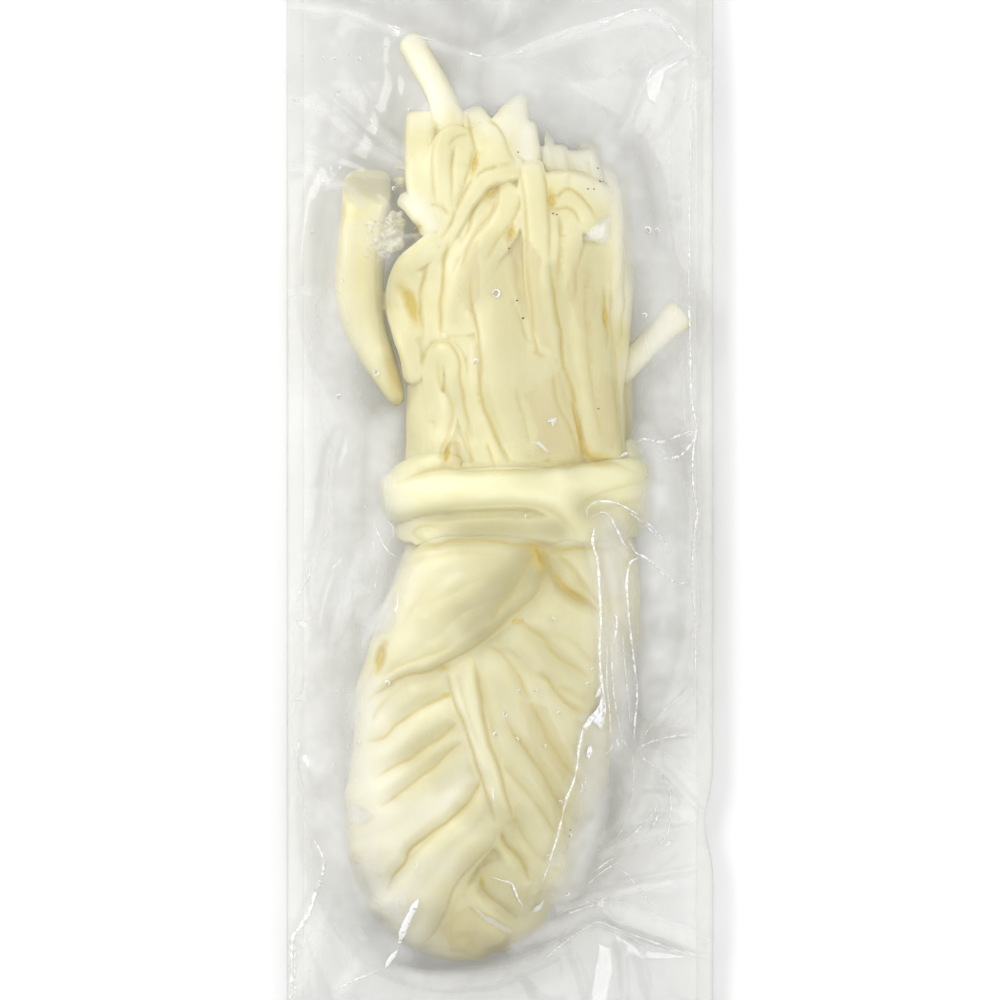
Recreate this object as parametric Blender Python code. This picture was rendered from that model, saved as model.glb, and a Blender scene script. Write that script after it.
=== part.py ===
"""Braided string cheese, vacuum packed in a clear flat pouch.

One closed solid: two films sealed together at a flat rim, drawn down tight over
a braid of cheese that has a strap round its neck and a loose fringe above it.
Lengths are in metres. +Z is up, +Y runs along the pouch towards the fringe, and
the pouch rests on the flat patch under the cheese at z = 0.
"""

import bpy
import bmesh
import numpy as np

MM = 0.001

# Pouch
POUCH_WIDTH = 114 * MM
POUCH_LENGTH = 300 * MM
RIM_THICKNESS = 0.6 * MM
SEAM_HEIGHT = 6 * MM
SEAM_DROOP = 2.5 * MM
DROOP_START = 112 * MM
GATHER_DEPTH = 2.4 * MM
GATHER_Y = -86 * MM
GATHER_LENGTH = 8 * MM
SEAL_WIDTH = 4.5 * MM
BRAID_OFFSET = -2.65 * MM

# Film over the cheese
FILM_LIFT = 0.3 * MM
SUCTION = 0.035 * MM
DRAPE_PASSES = 260
CELL = 1.2 * MM
TRIANGLES = 9400

# Cheese body, from the round tip to the top of the fringe:
# distance along, sideways centre, half width, height
BODY = np.array([
    (-122, -7.5, 3, 9),
    (-119, -8.0, 13, 15),
    (-114, -6.6, 21, 20),
    (-106, -6.6, 28, 25),
    (-93, -6.0, 32.4, 30),
    (-79, -3.3, 35.0, 33.5),
    (-62, -0.6, 35.5, 35),
    (-32, 3.7, 35.5, 35),
    (-12, 8.0, 32.0, 32),
    (2, 7.3, 34.0, 31),
    (16, 8.0, 31.5, 27),
    (40, 8.5, 30.5, 25),
    (66, 8.0, 30.5, 23),
    (86, 10.0, 26.5, 20),
    (98, 9.0, 20.0, 15),
    (107, 4.0, 9.0, 8),
]) * MM
WIDEST_AT = 0.42
TOP_ROUNDNESS = 2.3
BASE_ROUNDNESS = 2.8
BASE_SINK = 0.6 * MM

# Strap wound twice round the neck: start, middle and end of its run, half width, lift
STRAP = [
    ((-29, 1), (5, 3), (43, -1), 6.4, 4.0),
    ((-26, -8), (2, -7.5), (34, -9), 5.0, 1.6),
]

# Braid: each bundle fans out from one edge line to the other.
# first edge, last edge, number of strands, strand half width, lift at its start and end
BRAID = [
    (((14, -12), (26, -24), (35, -45)), ((36, -10), (39, -24), (38, -48)), 3, 3.4, 1.0, 0.6),
    (((-10, -45), (-24, -50), (-36, -61)), ((-2, -72), (-15, -83), (-37, -98)), 5, 3.4, 0.8, 0.4),
    (((11, -27), (23, -30), (36, -48)), ((-3, -42), (5, -66), (19, -91)), 5, 3.5, 2.2, 0.6),
    (((10, -14), (-12, -17), (-32, -37)), ((15, -22), (-3, -37), (-33, -52)), 4, 3.4, 3.0, 1.2),
    (((6, -84), (14, -93), (24, -104)), ((-9, -104), (-5, -112), (0, -119)), 4, 3.3, 0.6, 0.6),
    (((0, -79), (-10, -88), (-31, -107)), ((2, -89), (-8, -101), (-18, -118)), 3, 3.6, 2.0, 1.0),
    (((-10, -40), (-7, -60), (2, -84)), ((-5, -39), (-1, -60), (6, -86)), 2, 3.0, 3.2, 2.2),
]

# Fringe: foot, middle and free end of each loose strand, half width, height at foot and end
FRINGE = [
    ((-19, 10), (-20, 26), (-20, 44), 2.8, 24, 22),
    ((-16, 10), (-16, 26), (-13, 42), 2.8, 26, 22),
    ((4, 9), (-5, 26), (-8, 58), 4.0, 32, 27),
    ((13, 9), (6, 30), (3, 57), 7.0, 34, 30),
    ((25, 10), (19, 37), (18, 56), 4.2, 33, 28),
    ((31, 11), (28, 26), (25, 53), 5.0, 33, 28),
    ((37, 16), (38, 40), (35, 66), 3.4, 24, 24),
    ((34, 33), (37, 53), (37, 84), 3.4, 26, 20),
    ((16, 40), (12, 66), (10, 89), 4.2, 30, 22),
    ((27, 53), (25, 72), (22, 92), 5.0, 28, 19),
    ((11, 66), (11, 88), (8, 106), 3.0, 26, 16),
    ((-4, 58), (1, 82), (-3, 102), 3.2, 27, 17),
    ((-8, 53), (-8, 78), (-8, 97), 3.0, 26, 17),
    ((-14, 58), (-15, 78), (-18, 102), 3.6, 24, 15),
    ((-3, 84), (-11, 106), (-21, 122), 3.3, 22, 9),
    ((-22, 27), (-35, 52), (-33, 84), 5.6, 22, 17),
    ((-19, 46), (-28, 56), (-22, 68), 3.0, 22, 20),
    ((34, 30), (40, 37), (51, 49), 3.0, 21, 13),
]
RIDGE = 2.8 * MM


def grid_lines():
    """The sideways and lengthways lines of the pouch's grid."""
    across = int(round(POUCH_WIDTH / CELL)) + 1
    along = int(round(POUCH_LENGTH / CELL)) + 1
    return (
        np.linspace(-POUCH_WIDTH / 2, POUCH_WIDTH / 2, across),
        np.linspace(-POUCH_LENGTH / 2, POUCH_LENGTH / 2, along),
    )


def arc(start, middle, end, steps=24):
    """Points of the smooth arc through three places."""
    start, middle, end = (np.array(place, float) * MM for place in (start, middle, end))
    t = np.linspace(0, 1, steps)[:, None]
    pull = 2 * middle - (start + end) / 2
    return (1 - t) ** 2 * start + 2 * t * (1 - t) * pull + t**2 * end


def nearest(points, x, y):
    """Distance from each grid point to the arc, and how far along the arc it is, 0 to 1."""
    gap = np.full(x.shape, np.inf)
    part = np.zeros(x.shape)
    last = len(points) - 1
    for index in range(last):
        step = points[index + 1] - points[index]
        along = ((x - points[index][0]) * step[0] + (y - points[index][1]) * step[1]) / (step @ step)
        along = np.clip(along, 0, 1)
        reach = np.hypot(x - points[index][0] - along * step[0], y - points[index][1] - along * step[1])
        closer = reach < gap
        gap = np.where(closer, reach, gap)
        part = np.where(closer, (index + along) / last, part)
    return gap, part


def round_top(gap, half_width):
    """Rope cross section: 1 on its crest, 0 at its edge and beyond."""
    return np.sqrt(np.clip(1 - (gap / half_width) ** 2, 0, None))


def body_sizes(y):
    """Centre, half width and height of the cheese at each place along it, 0 beyond its ends."""
    centre, half, height = (np.interp(y, BODY[:, 0], BODY[:, column]) for column in (1, 2, 3))
    inside = (y >= BODY[0, 0]) & (y <= BODY[-1, 0])
    return centre, half, np.where(inside, height, 0)


def cheese_top(x, y):
    """Height of the upper side of the cheese, 0 where there is none."""
    centre, half, height = body_sizes(y)
    beside = np.clip(np.abs(x - centre) / half, 0, 1)
    fall = (1 - beside**TOP_ROUNDNESS) ** (1 / TOP_ROUNDNESS)
    core = height * (WIDEST_AT + (1 - WIDEST_AT) * fall) - RIDGE
    core = np.where(beside < 1, core, 0)
    top = core.copy()
    for first, last, count, half_width, lift_start, lift_end in BRAID:
        for share in np.linspace(0, 1, count):
            ends = [(1 - share) * np.array(a) + share * np.array(b) for a, b in zip(first, last)]
            gap, part = nearest(arc(*ends), x, y)
            lift = (lift_start + (lift_end - lift_start) * part) * MM
            ridge = (RIDGE + lift) * round_top(gap, half_width * MM)
            top = np.maximum(top, np.where(core > 0, core + ridge, 0))
    for start, middle, end, half_width, lift in STRAP:
        gap, part = nearest(arc(start, middle, end), x, y)
        ridge = (RIDGE + lift * MM) * round_top(gap, half_width * MM)
        top = np.maximum(top, np.where(core > 0, core + ridge, 0))
    for foot, middle, tip, half_width, foot_height, tip_height in FRINGE:
        gap, part = nearest(arc(foot, middle, tip), x, y)
        crest = (foot_height + (tip_height - foot_height) * part) * MM
        crown = round_top(gap, half_width * MM)
        top = np.maximum(top, np.where(crown > 0, crest - (1 - crown) * half_width * MM, 0))
    return top


def cheese_base(x, y):
    """Height of the underside of the cheese, flat where it rests and rising to its widest line."""
    centre, half, height = body_sizes(y)
    beside = np.clip(np.abs(x - centre) / half, 0, 1)
    rise = 1 - (1 - beside**BASE_ROUNDNESS) ** (1 / BASE_ROUNDNESS)
    base = height * WIDEST_AT * rise - BASE_SINK
    return np.where((beside < 1) & (height > 0), np.maximum(base, 0), np.inf)


def seam_height(y):
    """Height of the middle of the sealed rim, which droops a little towards both ends."""
    past = np.clip(np.abs(y) - DROOP_START, 0, None) / (POUCH_LENGTH / 2 - DROOP_START)
    return SEAM_HEIGHT - SEAM_DROOP * past


def drape(wall, floor):
    """The film as a stretched sheet that suction pulls to the floor and the cheese holds off it."""
    film = np.maximum(wall, floor)
    held = film.copy()
    for _ in range(DRAPE_PASSES):
        sides = film[1:-1, :-2] + film[1:-1, 2:] + film[:-2, 1:-1] + film[2:, 1:-1]
        film[1:-1, 1:-1] = np.maximum(held[1:-1, 1:-1], sides / 4 - SUCTION)
    return film


def soften(film):
    """One light smoothing pass, which takes the steps off the grid."""
    calm = film.copy()
    sides = film[1:-1, :-2] + film[1:-1, 2:] + film[:-2, 1:-1] + film[2:, 1:-1]
    calm[1:-1, 1:-1] = film[1:-1, 1:-1] / 2 + sides / 8
    return calm


def pouch_heights(x, y):
    """Upper and lower surface of the packed pouch, whose braid lies a little to one side."""
    seam = seam_height(y)
    x = x - BRAID_OFFSET
    upper = drape(cheese_top(x, y) + FILM_LIFT, seam + RIM_THICKNESS / 2)
    depth = seam - RIM_THICKNESS / 2
    base = np.minimum(cheese_base(x, y), depth)
    lower = depth - drape(depth - base, np.zeros(x.shape))
    lower = soften(soften(lower))
    resting = base <= 0
    return soften(upper), np.where(resting, 0, np.maximum(lower, 0))


def edge_pull(y):
    """How far a gather in the film draws in the right edge."""
    return GATHER_DEPTH * np.exp(-(((y - GATHER_Y) / GATHER_LENGTH) ** 2))


def clear_scene():
    for old in list(bpy.data.objects):
        bpy.data.objects.remove(old)


def new_collection(name):
    made = bpy.data.collections.new(name)
    bpy.context.scene.collection.children.link(made)
    return made


def clear_film_material():
    material = bpy.data.materials.new("clear_film")
    material.use_nodes = True
    shader = material.node_tree.nodes["Principled BSDF"]
    shader.inputs["Base Color"].default_value = (0.84, 0.77, 0.50, 1)
    shader.inputs["Roughness"].default_value = 0.22
    shader.inputs["Coat Weight"].default_value = 0.6
    return material


def pouch_mesh():
    """The pouch as a slab: one grid for the lower film, pushed up to make the upper film."""
    across, along = grid_lines()
    x, y = np.meshgrid(across, along)
    upper, lower = pouch_heights(x, y)
    shape = bmesh.new()
    bmesh.ops.create_grid(shape, x_segments=len(across) - 1, y_segments=len(along) - 1, size=0.5)
    bmesh.ops.scale(shape, vec=(POUCH_WIDTH, POUCH_LENGTH, 1), verts=shape.verts)
    raised = bmesh.ops.extrude_face_region(shape, geom=shape.faces[:], use_keep_orig=True)
    top_points = {part for part in raised["geom"] if isinstance(part, bmesh.types.BMVert)}
    for point in shape.verts:
        column = int(round((point.co.x + POUCH_WIDTH / 2) / CELL))
        row = int(round((point.co.y + POUCH_LENGTH / 2) / CELL))
        point.co.z = upper[row, column] if point in top_points else lower[row, column]
        if point.co.x > POUCH_WIDTH / 2 - SEAL_WIDTH:
            nearness = (point.co.x - POUCH_WIDTH / 2 + SEAL_WIDTH) / SEAL_WIDTH
            point.co.x -= nearness * edge_pull(point.co.y)
    bmesh.ops.recalc_face_normals(shape, faces=shape.faces)
    mesh = bpy.data.meshes.new("sealed_pouch")
    shape.to_mesh(mesh)
    shape.free()
    return mesh


def build():
    clear_scene()
    home = new_collection("braided_string_cheese")
    mesh = pouch_mesh()
    pouch = bpy.data.objects.new("sealed_pouch", mesh)
    home.objects.link(pouch)
    mesh.materials.append(clear_film_material())
    mesh.shade_smooth()
    full = 2 * len(mesh.polygons)
    thin = pouch.modifiers.new("fewer_faces", "DECIMATE")
    thin.ratio = TRIANGLES / full


build()
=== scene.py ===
import math

import bpy
import bmesh
import numpy as np
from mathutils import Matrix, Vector
from mathutils.bvhtree import BVHTree


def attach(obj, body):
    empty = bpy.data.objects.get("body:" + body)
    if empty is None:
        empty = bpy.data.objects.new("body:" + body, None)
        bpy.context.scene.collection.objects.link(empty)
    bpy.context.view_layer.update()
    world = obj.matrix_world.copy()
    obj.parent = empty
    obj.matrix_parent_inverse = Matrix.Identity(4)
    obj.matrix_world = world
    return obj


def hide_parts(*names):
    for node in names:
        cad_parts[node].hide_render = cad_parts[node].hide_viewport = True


# Braided string cheese in a clear vacuum pouch. Lengths in the shaping code are in
# millimetres, in the model's own frame: +Y towards the fringe, +Z up.
MM = 0.001

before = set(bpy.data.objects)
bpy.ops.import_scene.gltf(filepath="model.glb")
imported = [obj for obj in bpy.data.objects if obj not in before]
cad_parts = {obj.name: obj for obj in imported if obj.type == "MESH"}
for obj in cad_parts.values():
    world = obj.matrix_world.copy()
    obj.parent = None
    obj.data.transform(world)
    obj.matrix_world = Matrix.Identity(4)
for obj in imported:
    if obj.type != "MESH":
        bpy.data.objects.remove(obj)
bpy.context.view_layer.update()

# ---------------------------------------------------------------- the cheese body
# rows of: distance along, sideways centre, half width, height
BODY = np.array([
    (-122.6, -10.3, 4, 9),
    (-121, -10.4, 12.5, 12),
    (-119, -10.4, 16.5, 15),
    (-114, -9.3, 21.8, 20),
    (-106, -10.0, 27.2, 25),
    (-93, -9.6, 31.4, 30),
    (-79, -7.3, 33.7, 33.5),
    (-62, -4.0, 34.8, 35),
    (-32, 1.1, 35.5, 35),
    (-12, 5.3, 32.0, 32),
    (2, 4.6, 34.0, 31),
    (16, 5.3, 31.5, 27),
    (40, 5.8, 30.5, 25),
    (66, 5.3, 30.5, 23),
    (86, 7.3, 26.5, 20),
    (98, 6.3, 20.0, 15),
    (107, 1.3, 9.0, 8),
])
WIDEST_AT = 0.42  # share of the height at which the body is widest
TOP_POWER = 2.3  # how square its upper half is
BASE_POWER = 2.8  # and its lower half
SOLE = 0.45  # height of its flattened underside


def body_at(y):
    """Sideways centre, half width and height of the body."""
    return tuple(np.interp(y, BODY[:, 0], BODY[:, k]) for k in (1, 2, 3))


def body_point(turn, y, inset=0.0):
    """A point of the cheese's outer surface: turn is 0 on top, +-90 at the sides, +-180 below."""
    centre, half, height = body_at(y)
    angle = np.radians(turn)
    s, c = np.sin(angle), np.cos(angle)
    power = np.where(c >= 0, TOP_POWER, BASE_POWER)
    widest = height * WIDEST_AT
    x = centre + (half - inset) * np.sign(s) * np.abs(s) ** (2 / power)
    rise = np.abs(c) ** (2 / power)
    z = np.where(c >= 0, widest + (height - widest - inset) * rise, widest - (widest - SOLE - inset) * rise)
    return np.stack([x, np.broadcast_to(y, x.shape), z], axis=-1)


def turn_at(x, y):
    """The turn at which the top of the body lies over x."""
    centre, half, _ = body_at(y)
    share = np.clip((x - centre) / half, -0.999, 0.999)
    return np.degrees(np.arcsin(np.sign(share) * np.abs(share) ** (TOP_POWER / 2)))


def body_normal(turn, y):
    """Direction straight out of the body's surface."""
    step = 0.4
    across = body_point(turn + step * 3, y) - body_point(turn - step * 3, y)
    along = body_point(turn, y + step) - body_point(turn, y - step)
    normal = np.cross(across, along)
    return normal / np.linalg.norm(normal, axis=-1, keepdims=True)


# ---------------------------------------------------------------- curves and noise
def smooth_curve(points, per_span=14):
    """Catmull-Rom curve through the points, any number of columns."""
    points = np.array(points, float)
    first = 2 * points[0] - points[1]
    last = 2 * points[-1] - points[-2]
    p = np.vstack([first, points, last])
    t = np.linspace(0, 1, per_span, endpoint=False)[:, None]
    parts = []
    for i in range(1, len(p) - 2):
        a, b, c, d = p[i - 1], p[i], p[i + 1], p[i + 2]
        parts.append(0.5 * (2 * b + (c - a) * t + (2 * a - 5 * b + 4 * c - d) * t**2
                            + (3 * b - a - 3 * c + d) * t**3))
    parts.append(points[-1:])
    return np.vstack(parts)


def evenly(points, extra, step):
    """Points of a polyline at even steps, with extra columns carried along."""
    gaps = np.linalg.norm(np.diff(points, axis=0), axis=1)
    run = np.concatenate([[0], np.cumsum(gaps)])
    count = max(6, int(run[-1] / step) + 1)
    at = np.linspace(0, run[-1], count)
    new = np.stack([np.interp(at, run, points[:, k]) for k in range(points.shape[1])], axis=1)
    more = np.stack([np.interp(at, run, extra[:, k]) for k in range(extra.shape[1])], axis=1)
    return new, more, at


def lattice(ix, iy, iz, seed):
    """A fixed number from -1 to 1 for each cell."""
    h = (ix * 374761393 + iy * 668265263 + iz * 2147483647 + seed * 1274126177) & 0x7FFFFFFF
    h = ((h ^ (h >> 13)) * 1274126177) & 0x7FFFFFFF
    return ((h ^ (h >> 16)) & 0xFFFFF) / float(0xFFFFF) * 2 - 1


def noise(points, size, seed=0):
    """Smooth value noise, -1 to 1, with bumps of about the size given."""
    q = np.asarray(points, float) / size
    base = np.floor(q).astype(np.int64)
    f = q - base
    f = f * f * (3 - 2 * f)
    total = 0
    for dx in (0, 1):
        for dy in (0, 1):
            for dz in (0, 1):
                weight = ((f[..., 0] if dx else 1 - f[..., 0])
                          * (f[..., 1] if dy else 1 - f[..., 1])
                          * (f[..., 2] if dz else 1 - f[..., 2]))
                cell = (base[..., 0] + dx, base[..., 1] + dy, base[..., 2] + dz)
                total = total + weight * lattice(*cell, seed)
    return total


def unit(v):
    """The vectors at length 1."""
    return v / np.maximum(np.linalg.norm(v, axis=-1, keepdims=True), 1e-9)


def spread(values, count):
    """One value, or a few, shared out evenly over a count of places."""
    return np.interp(np.linspace(0, 1, count), np.linspace(0, 1, np.size(values)), np.atleast_1d(values))


def even_line(route, per_span, step):
    """A smooth line through the route at even steps, and the run along it."""
    curve = smooth_curve(route, per_span)
    line, _, run = evenly(curve, np.zeros((len(curve), 1)), step)
    return line, run


def across_of(line):
    """Direction to the left of a flat line at each of its points."""
    along = unit(np.gradient(line, axis=0))
    return np.stack([-along[:, 1], along[:, 0]], axis=1)


def ribbon(line, across, reach):
    """Places beside a flat line, out to each reach at each of its points."""
    return [line[:, k][:, None] + across[:, k][:, None] * reach for k in (0, 1)]


def sway_of(points, size, seeds):
    """Smooth noise that moves the points sideways, drawn from two seeds."""
    return np.stack([noise(points, size, seed) for seed in seeds], axis=1)


def sample(field, row, column):
    """Values of a grid at places between its points."""
    i, j = (np.clip(at.astype(int), 0, count - 2) for at, count in zip((row, column), field.shape))
    u, v = row - i, column - j
    return (field[i, j] * (1 - u) * (1 - v) + field[i + 1, j] * u * (1 - v)
            + field[i, j + 1] * (1 - u) * v + field[i + 1, j + 1] * u * v)


def line_distance(x, y, line):
    """Distance of each place from a line, its side (left is positive) and how far along it is, 0 to 1."""
    gap = np.full(x.shape, np.inf)
    side = np.zeros(x.shape)
    part = np.zeros(x.shape)
    last = len(line) - 1
    for k in range(last):
        step = line[k + 1] - line[k]
        dx, dy = x - line[k][0], y - line[k][1]
        along = np.clip((dx * step[0] + dy * step[1]) / max(step @ step, 1e-9), 0, 1)
        reach = np.hypot(dx - along * step[0], dy - along * step[1])
        nearer = reach < gap
        gap = np.where(nearer, reach, gap)
        side = np.where(nearer, np.sign(step[0] * dy - step[1] * dx), side)
        part = np.where(nearer, (k + along) / last, part)
    return gap, side, part


def sides_of(field):
    """Sum of the four neighbours of each inner point of a grid."""
    return field[1:-1, :-2] + field[1:-1, 2:] + field[:-2, 1:-1] + field[2:, 1:-1]


def blur(field, rounds):
    """Smooths a grid in place, its rim held."""
    for _ in range(rounds):
        field[1:-1, 1:-1] = sides_of(field) / 4


def rim_of(rows, columns):
    """Row and column of each point round the rim of a grid."""
    return ([(0, j) for j in range(columns)] + [(i, columns - 1) for i in range(1, rows)]
            + [(rows - 1, j) for j in range(columns - 2, -1, -1)] + [(i, 0) for i in range(rows - 2, 0, -1)])


# ---------------------------------------------------------------- strands
AROUND = 34  # points round a strand
STEP = 0.85  # length of a step along a strand
END_REACH = {"round": 1.0, "cut": 0.22, "point": 3.2}  # length of an end, as a share of the half width
RIDGES = (5, 8, 11, 15)  # fibres that show round a strand, coarse to fine
LUMP_SIZE, SMALL_LUMP, SWAY_SIZE = 7.0, 3.0, 9.0
serial = [0]  # number of the last strand made, from which its unevenness is drawn


def strand_mesh(path, up, wide, thick, power=2.5, ends=("round", "round"), lump=0.22, fibre=0.09, slant=0.0):
    """One pulled strand as a closed tube: its path, up directions, half width and half thickness."""
    serial[0] += 1
    seed = serial[0] * 17
    path, extra, run = evenly(path, np.column_stack([up, wide, thick]), STEP)
    up, wide, thick = extra[:, :3], extra[:, 3], extra[:, 4]
    along = unit(np.gradient(path, axis=0))
    side = unit(np.cross(along, up))
    up = np.cross(side, along)
    angle = np.linspace(0, 2 * math.pi, AROUND, endpoint=False)
    ca, sa = np.cos(angle), np.sin(angle)
    flat = np.sign(ca) * np.abs(ca) ** (2 / power)
    tall = np.sign(sa) * np.abs(sa) ** (2 / power)
    to_start, to_end = run, run[-1] - run
    shrink = np.ones(len(run))
    for end, away in zip(ends, (to_start, to_end)):
        reach = END_REACH[end] * np.minimum(wide, thick * 1.4)
        near = np.clip(away / reach, 0, 1)
        if end == "point":
            shrink = shrink * (0.12 + 0.88 * near**0.8)
        elif end == "cut":
            shrink = shrink * (0.9 + 0.1 * np.sqrt(1 - (1 - near) ** 2))
        else:
            shrink = shrink * np.sqrt(np.clip(1 - (1 - near) ** 2, 0.03, 1))
    w, t = (wide * shrink)[:, None], (thick * shrink)[:, None]
    points = (path[:, None, :] + side[:, None, :] * (w * flat)[..., None]
              + up[:, None, :] * (t * tall)[..., None])
    if slant:
        lean = slant * np.exp(-run / 6)[:, None] * tall[None, :] * shrink[:, None]
        points = points + along[:, None, :] * lean[..., None]
    outward = unit(side[:, None, :] * (flat / np.maximum(w, 0.2) * thick[:, None])[..., None]
                   + up[:, None, :] * (tall / np.maximum(t, 0.2) * thick[:, None])[..., None])
    ridges = np.zeros(points.shape[:2])
    rng = np.random.default_rng(seed)
    for count in RIDGES:
        phase = rng.uniform(0, 6.28)
        twist = rng.uniform(-0.02, 0.02)
        sway = noise(np.column_stack([run, run * 0, run * 0 + count]), SWAY_SIZE, seed)
        turn = (twist * run + sway)[:, None] * 2
        ridges += np.sin(count * angle[None, :] + phase + turn) * rng.uniform(0.2, 0.5)
    bump = lump * noise(points, LUMP_SIZE, seed) + lump * 0.4 * noise(points, SMALL_LUMP, seed + 3)
    bump = bump + fibre * ridges * np.clip(shrink, 0.3, 1)[:, None]
    points = points + outward * bump[..., None]
    return points


def squares(rows, columns, start, flip=False):
    """The four-sided faces of a grid of points."""
    corner = (np.arange(rows - 1)[:, None] * columns + np.arange(columns - 1)[None, :] + start).ravel()
    faces = np.stack([corner, corner + 1, corner + columns + 1, corner + columns], axis=-1)
    return (faces[:, ::-1] if flip else faces).tolist()


def add_piece(name, mesh, slot):
    """Puts a mesh in the scene: as a piece of the model, or as a helper when it has no slot."""
    piece = bpy.data.objects.new(name, mesh)
    bpy.context.scene.collection.objects.link(piece)
    if slot:
        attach(piece, "root")
    return piece


class Piece:
    """Vertices and faces gathered for one mesh."""

    def __init__(self):
        self.points, self.faces, self.size = [], [], 0

    def add_tube(self, rings):
        """A closed tube round its rings, with a fan at each end."""
        count, around = rings.shape[:2]
        start = self.size
        self.points.append(rings.reshape(-1, 3))
        i = np.arange(count - 1)[:, None] * around
        j = np.arange(around)[None, :]
        k = (np.arange(around)[None, :] + 1) % around
        quads = np.stack([i + j, i + k, i + around + k, i + around + j], axis=-1) + start
        self.faces.extend(quads.reshape(-1, 4).tolist())
        self.size += count * around
        for ring, order in ((0, -1), (count - 1, 1)):
            self.points.append(rings[ring].mean(axis=0)[None])
            hub = self.size
            self.size += 1
            base = start + ring * around
            for a in range(around):
                b = (a + 1) % around
                self.faces.append([base + a, base + b, hub] if order > 0 else [base + b, base + a, hub])

    def add_grid(self, grid):
        """An open sheet of four-sided faces."""
        rows, columns = grid.shape[:2]
        self.points.append(grid.reshape(-1, 3))
        self.faces.extend(squares(rows, columns, self.size))
        self.size += rows * columns

    def build(self, name, material, slot=None):
        """The mesh as an object, its faces turned outwards."""
        mesh = bpy.data.meshes.new(name)
        mesh.from_pydata((np.vstack(self.points) * MM).tolist(), [], self.faces)
        mesh.validate()
        shape = bmesh.new()
        shape.from_mesh(mesh)
        bmesh.ops.recalc_face_normals(shape, faces=shape.faces)
        shape.to_mesh(mesh)
        shape.free()
        mesh.shade_smooth()
        mesh.materials.append(material)
        return add_piece(name, mesh, slot)


def over_body(piece, route, wide, thick=3.2, lift=0.0, ends=("round", "round"), power=3.2, lump=0.16):
    """A strand laid on the body. Its route holds (x, y) on top, or ("turn", degrees, y) round the sides."""
    places = [place[1:] if place[0] == "turn" else (float(turn_at(*place)), place[1]) for place in route]
    sizes = [spread(values, len(places)) for values in (wide, thick, lift)]
    line = smooth_curve(np.column_stack([np.array(places), *sizes]))
    up = body_normal(line[:, 0], line[:, 1])
    path = body_point(line[:, 0], line[:, 1]) + up * (line[:, 4] - line[:, 3])[:, None]
    piece.add_tube(strand_mesh(path, up, line[:, 2], line[:, 3], power, ends, lump))


def free(piece, route, wide, thick, ends=("round", "cut"), power=3.0, lump=0.16, slant=0.0):
    """A loose strand: (x, y, height of its crest) along its length."""
    route = np.array(route, float)
    line = smooth_curve(np.column_stack([route, spread(wide, len(route)), spread(thick, len(route))]))
    path = line[:, :3].copy()
    path[:, 2] -= line[:, 4]
    up = np.tile([0.0, 0.0, 1.0], (len(path), 1))
    piece.add_tube(strand_mesh(path, up, line[:, 3], line[:, 4], power, ends, lump, slant=slant))


OVERLAP = 1.32  # width of a strand in a bundle, as a share of its place
THINNEST = 1.9  # least half width of a strand in a bundle
TAIL_STEPS = 5  # places on the part of a strand that turns under the body
TAIL_WIDTH = 3.2
TAIL_LIMIT = -117.5  # the tails stop short of the braid's tip


def bundle(piece, edge_a, edge_b, cuts, lift, tail=None, thick=3.4):
    """Strands side by side between two edge lines, shared out at the cuts, then turned under the body."""
    a = smooth_curve(edge_a, 10)
    b = smooth_curve(edge_b, 10)
    line_a, line_b = (np.stack([spread(edge[:, k], 9) for k in (0, 1)], axis=1) for edge in (a, b))
    across = np.linalg.norm(line_a - line_b, axis=1)
    for low, high in zip(cuts[:-1], cuts[1:]):
        middle = (low + high) / 2
        centre = line_a * (1 - middle) + line_b * middle
        width = np.maximum(across * (high - low) / 2 * OVERLAP, THINNEST)
        route = [tuple(p) for p in centre]
        lifts = list(spread(lift, len(route)))
        widths = list(width)
        if tail is not None:
            turn = float(turn_at(*route[-1]))
            from_y = route[-1][1]
            for k in range(1, TAIL_STEPS + 1):
                share = k / TAIL_STEPS
                y = max(from_y + tail[1] * share, TAIL_LIMIT)
                route.append(("turn", turn + (tail[0] - turn) * share, y))
                lifts.append(lift[-1] * (1 - share))
                widths.append(max(widths[-1], TAIL_WIDTH))
        over_body(piece, route, widths, thick, lifts, lump=0.25, power=2.8)


# ---------------------------------------------------------------- braided bulb and strap
def body_tube(y_low, y_high, inset, seed):
    """The cheese's body as one closed tube, set in from the outer surface."""
    tube = Piece()
    ys = np.arange(y_low, y_high, 2.0)
    turns = np.linspace(-180, 180, 73)[:-1]
    rings = np.stack([body_point(turns, np.full(turns.shape, y), inset) for y in ys])
    rings[..., 2] += np.abs(noise(rings, 6.0, seed)) * 0.4
    tube.add_tube(rings)
    return tube


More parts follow.
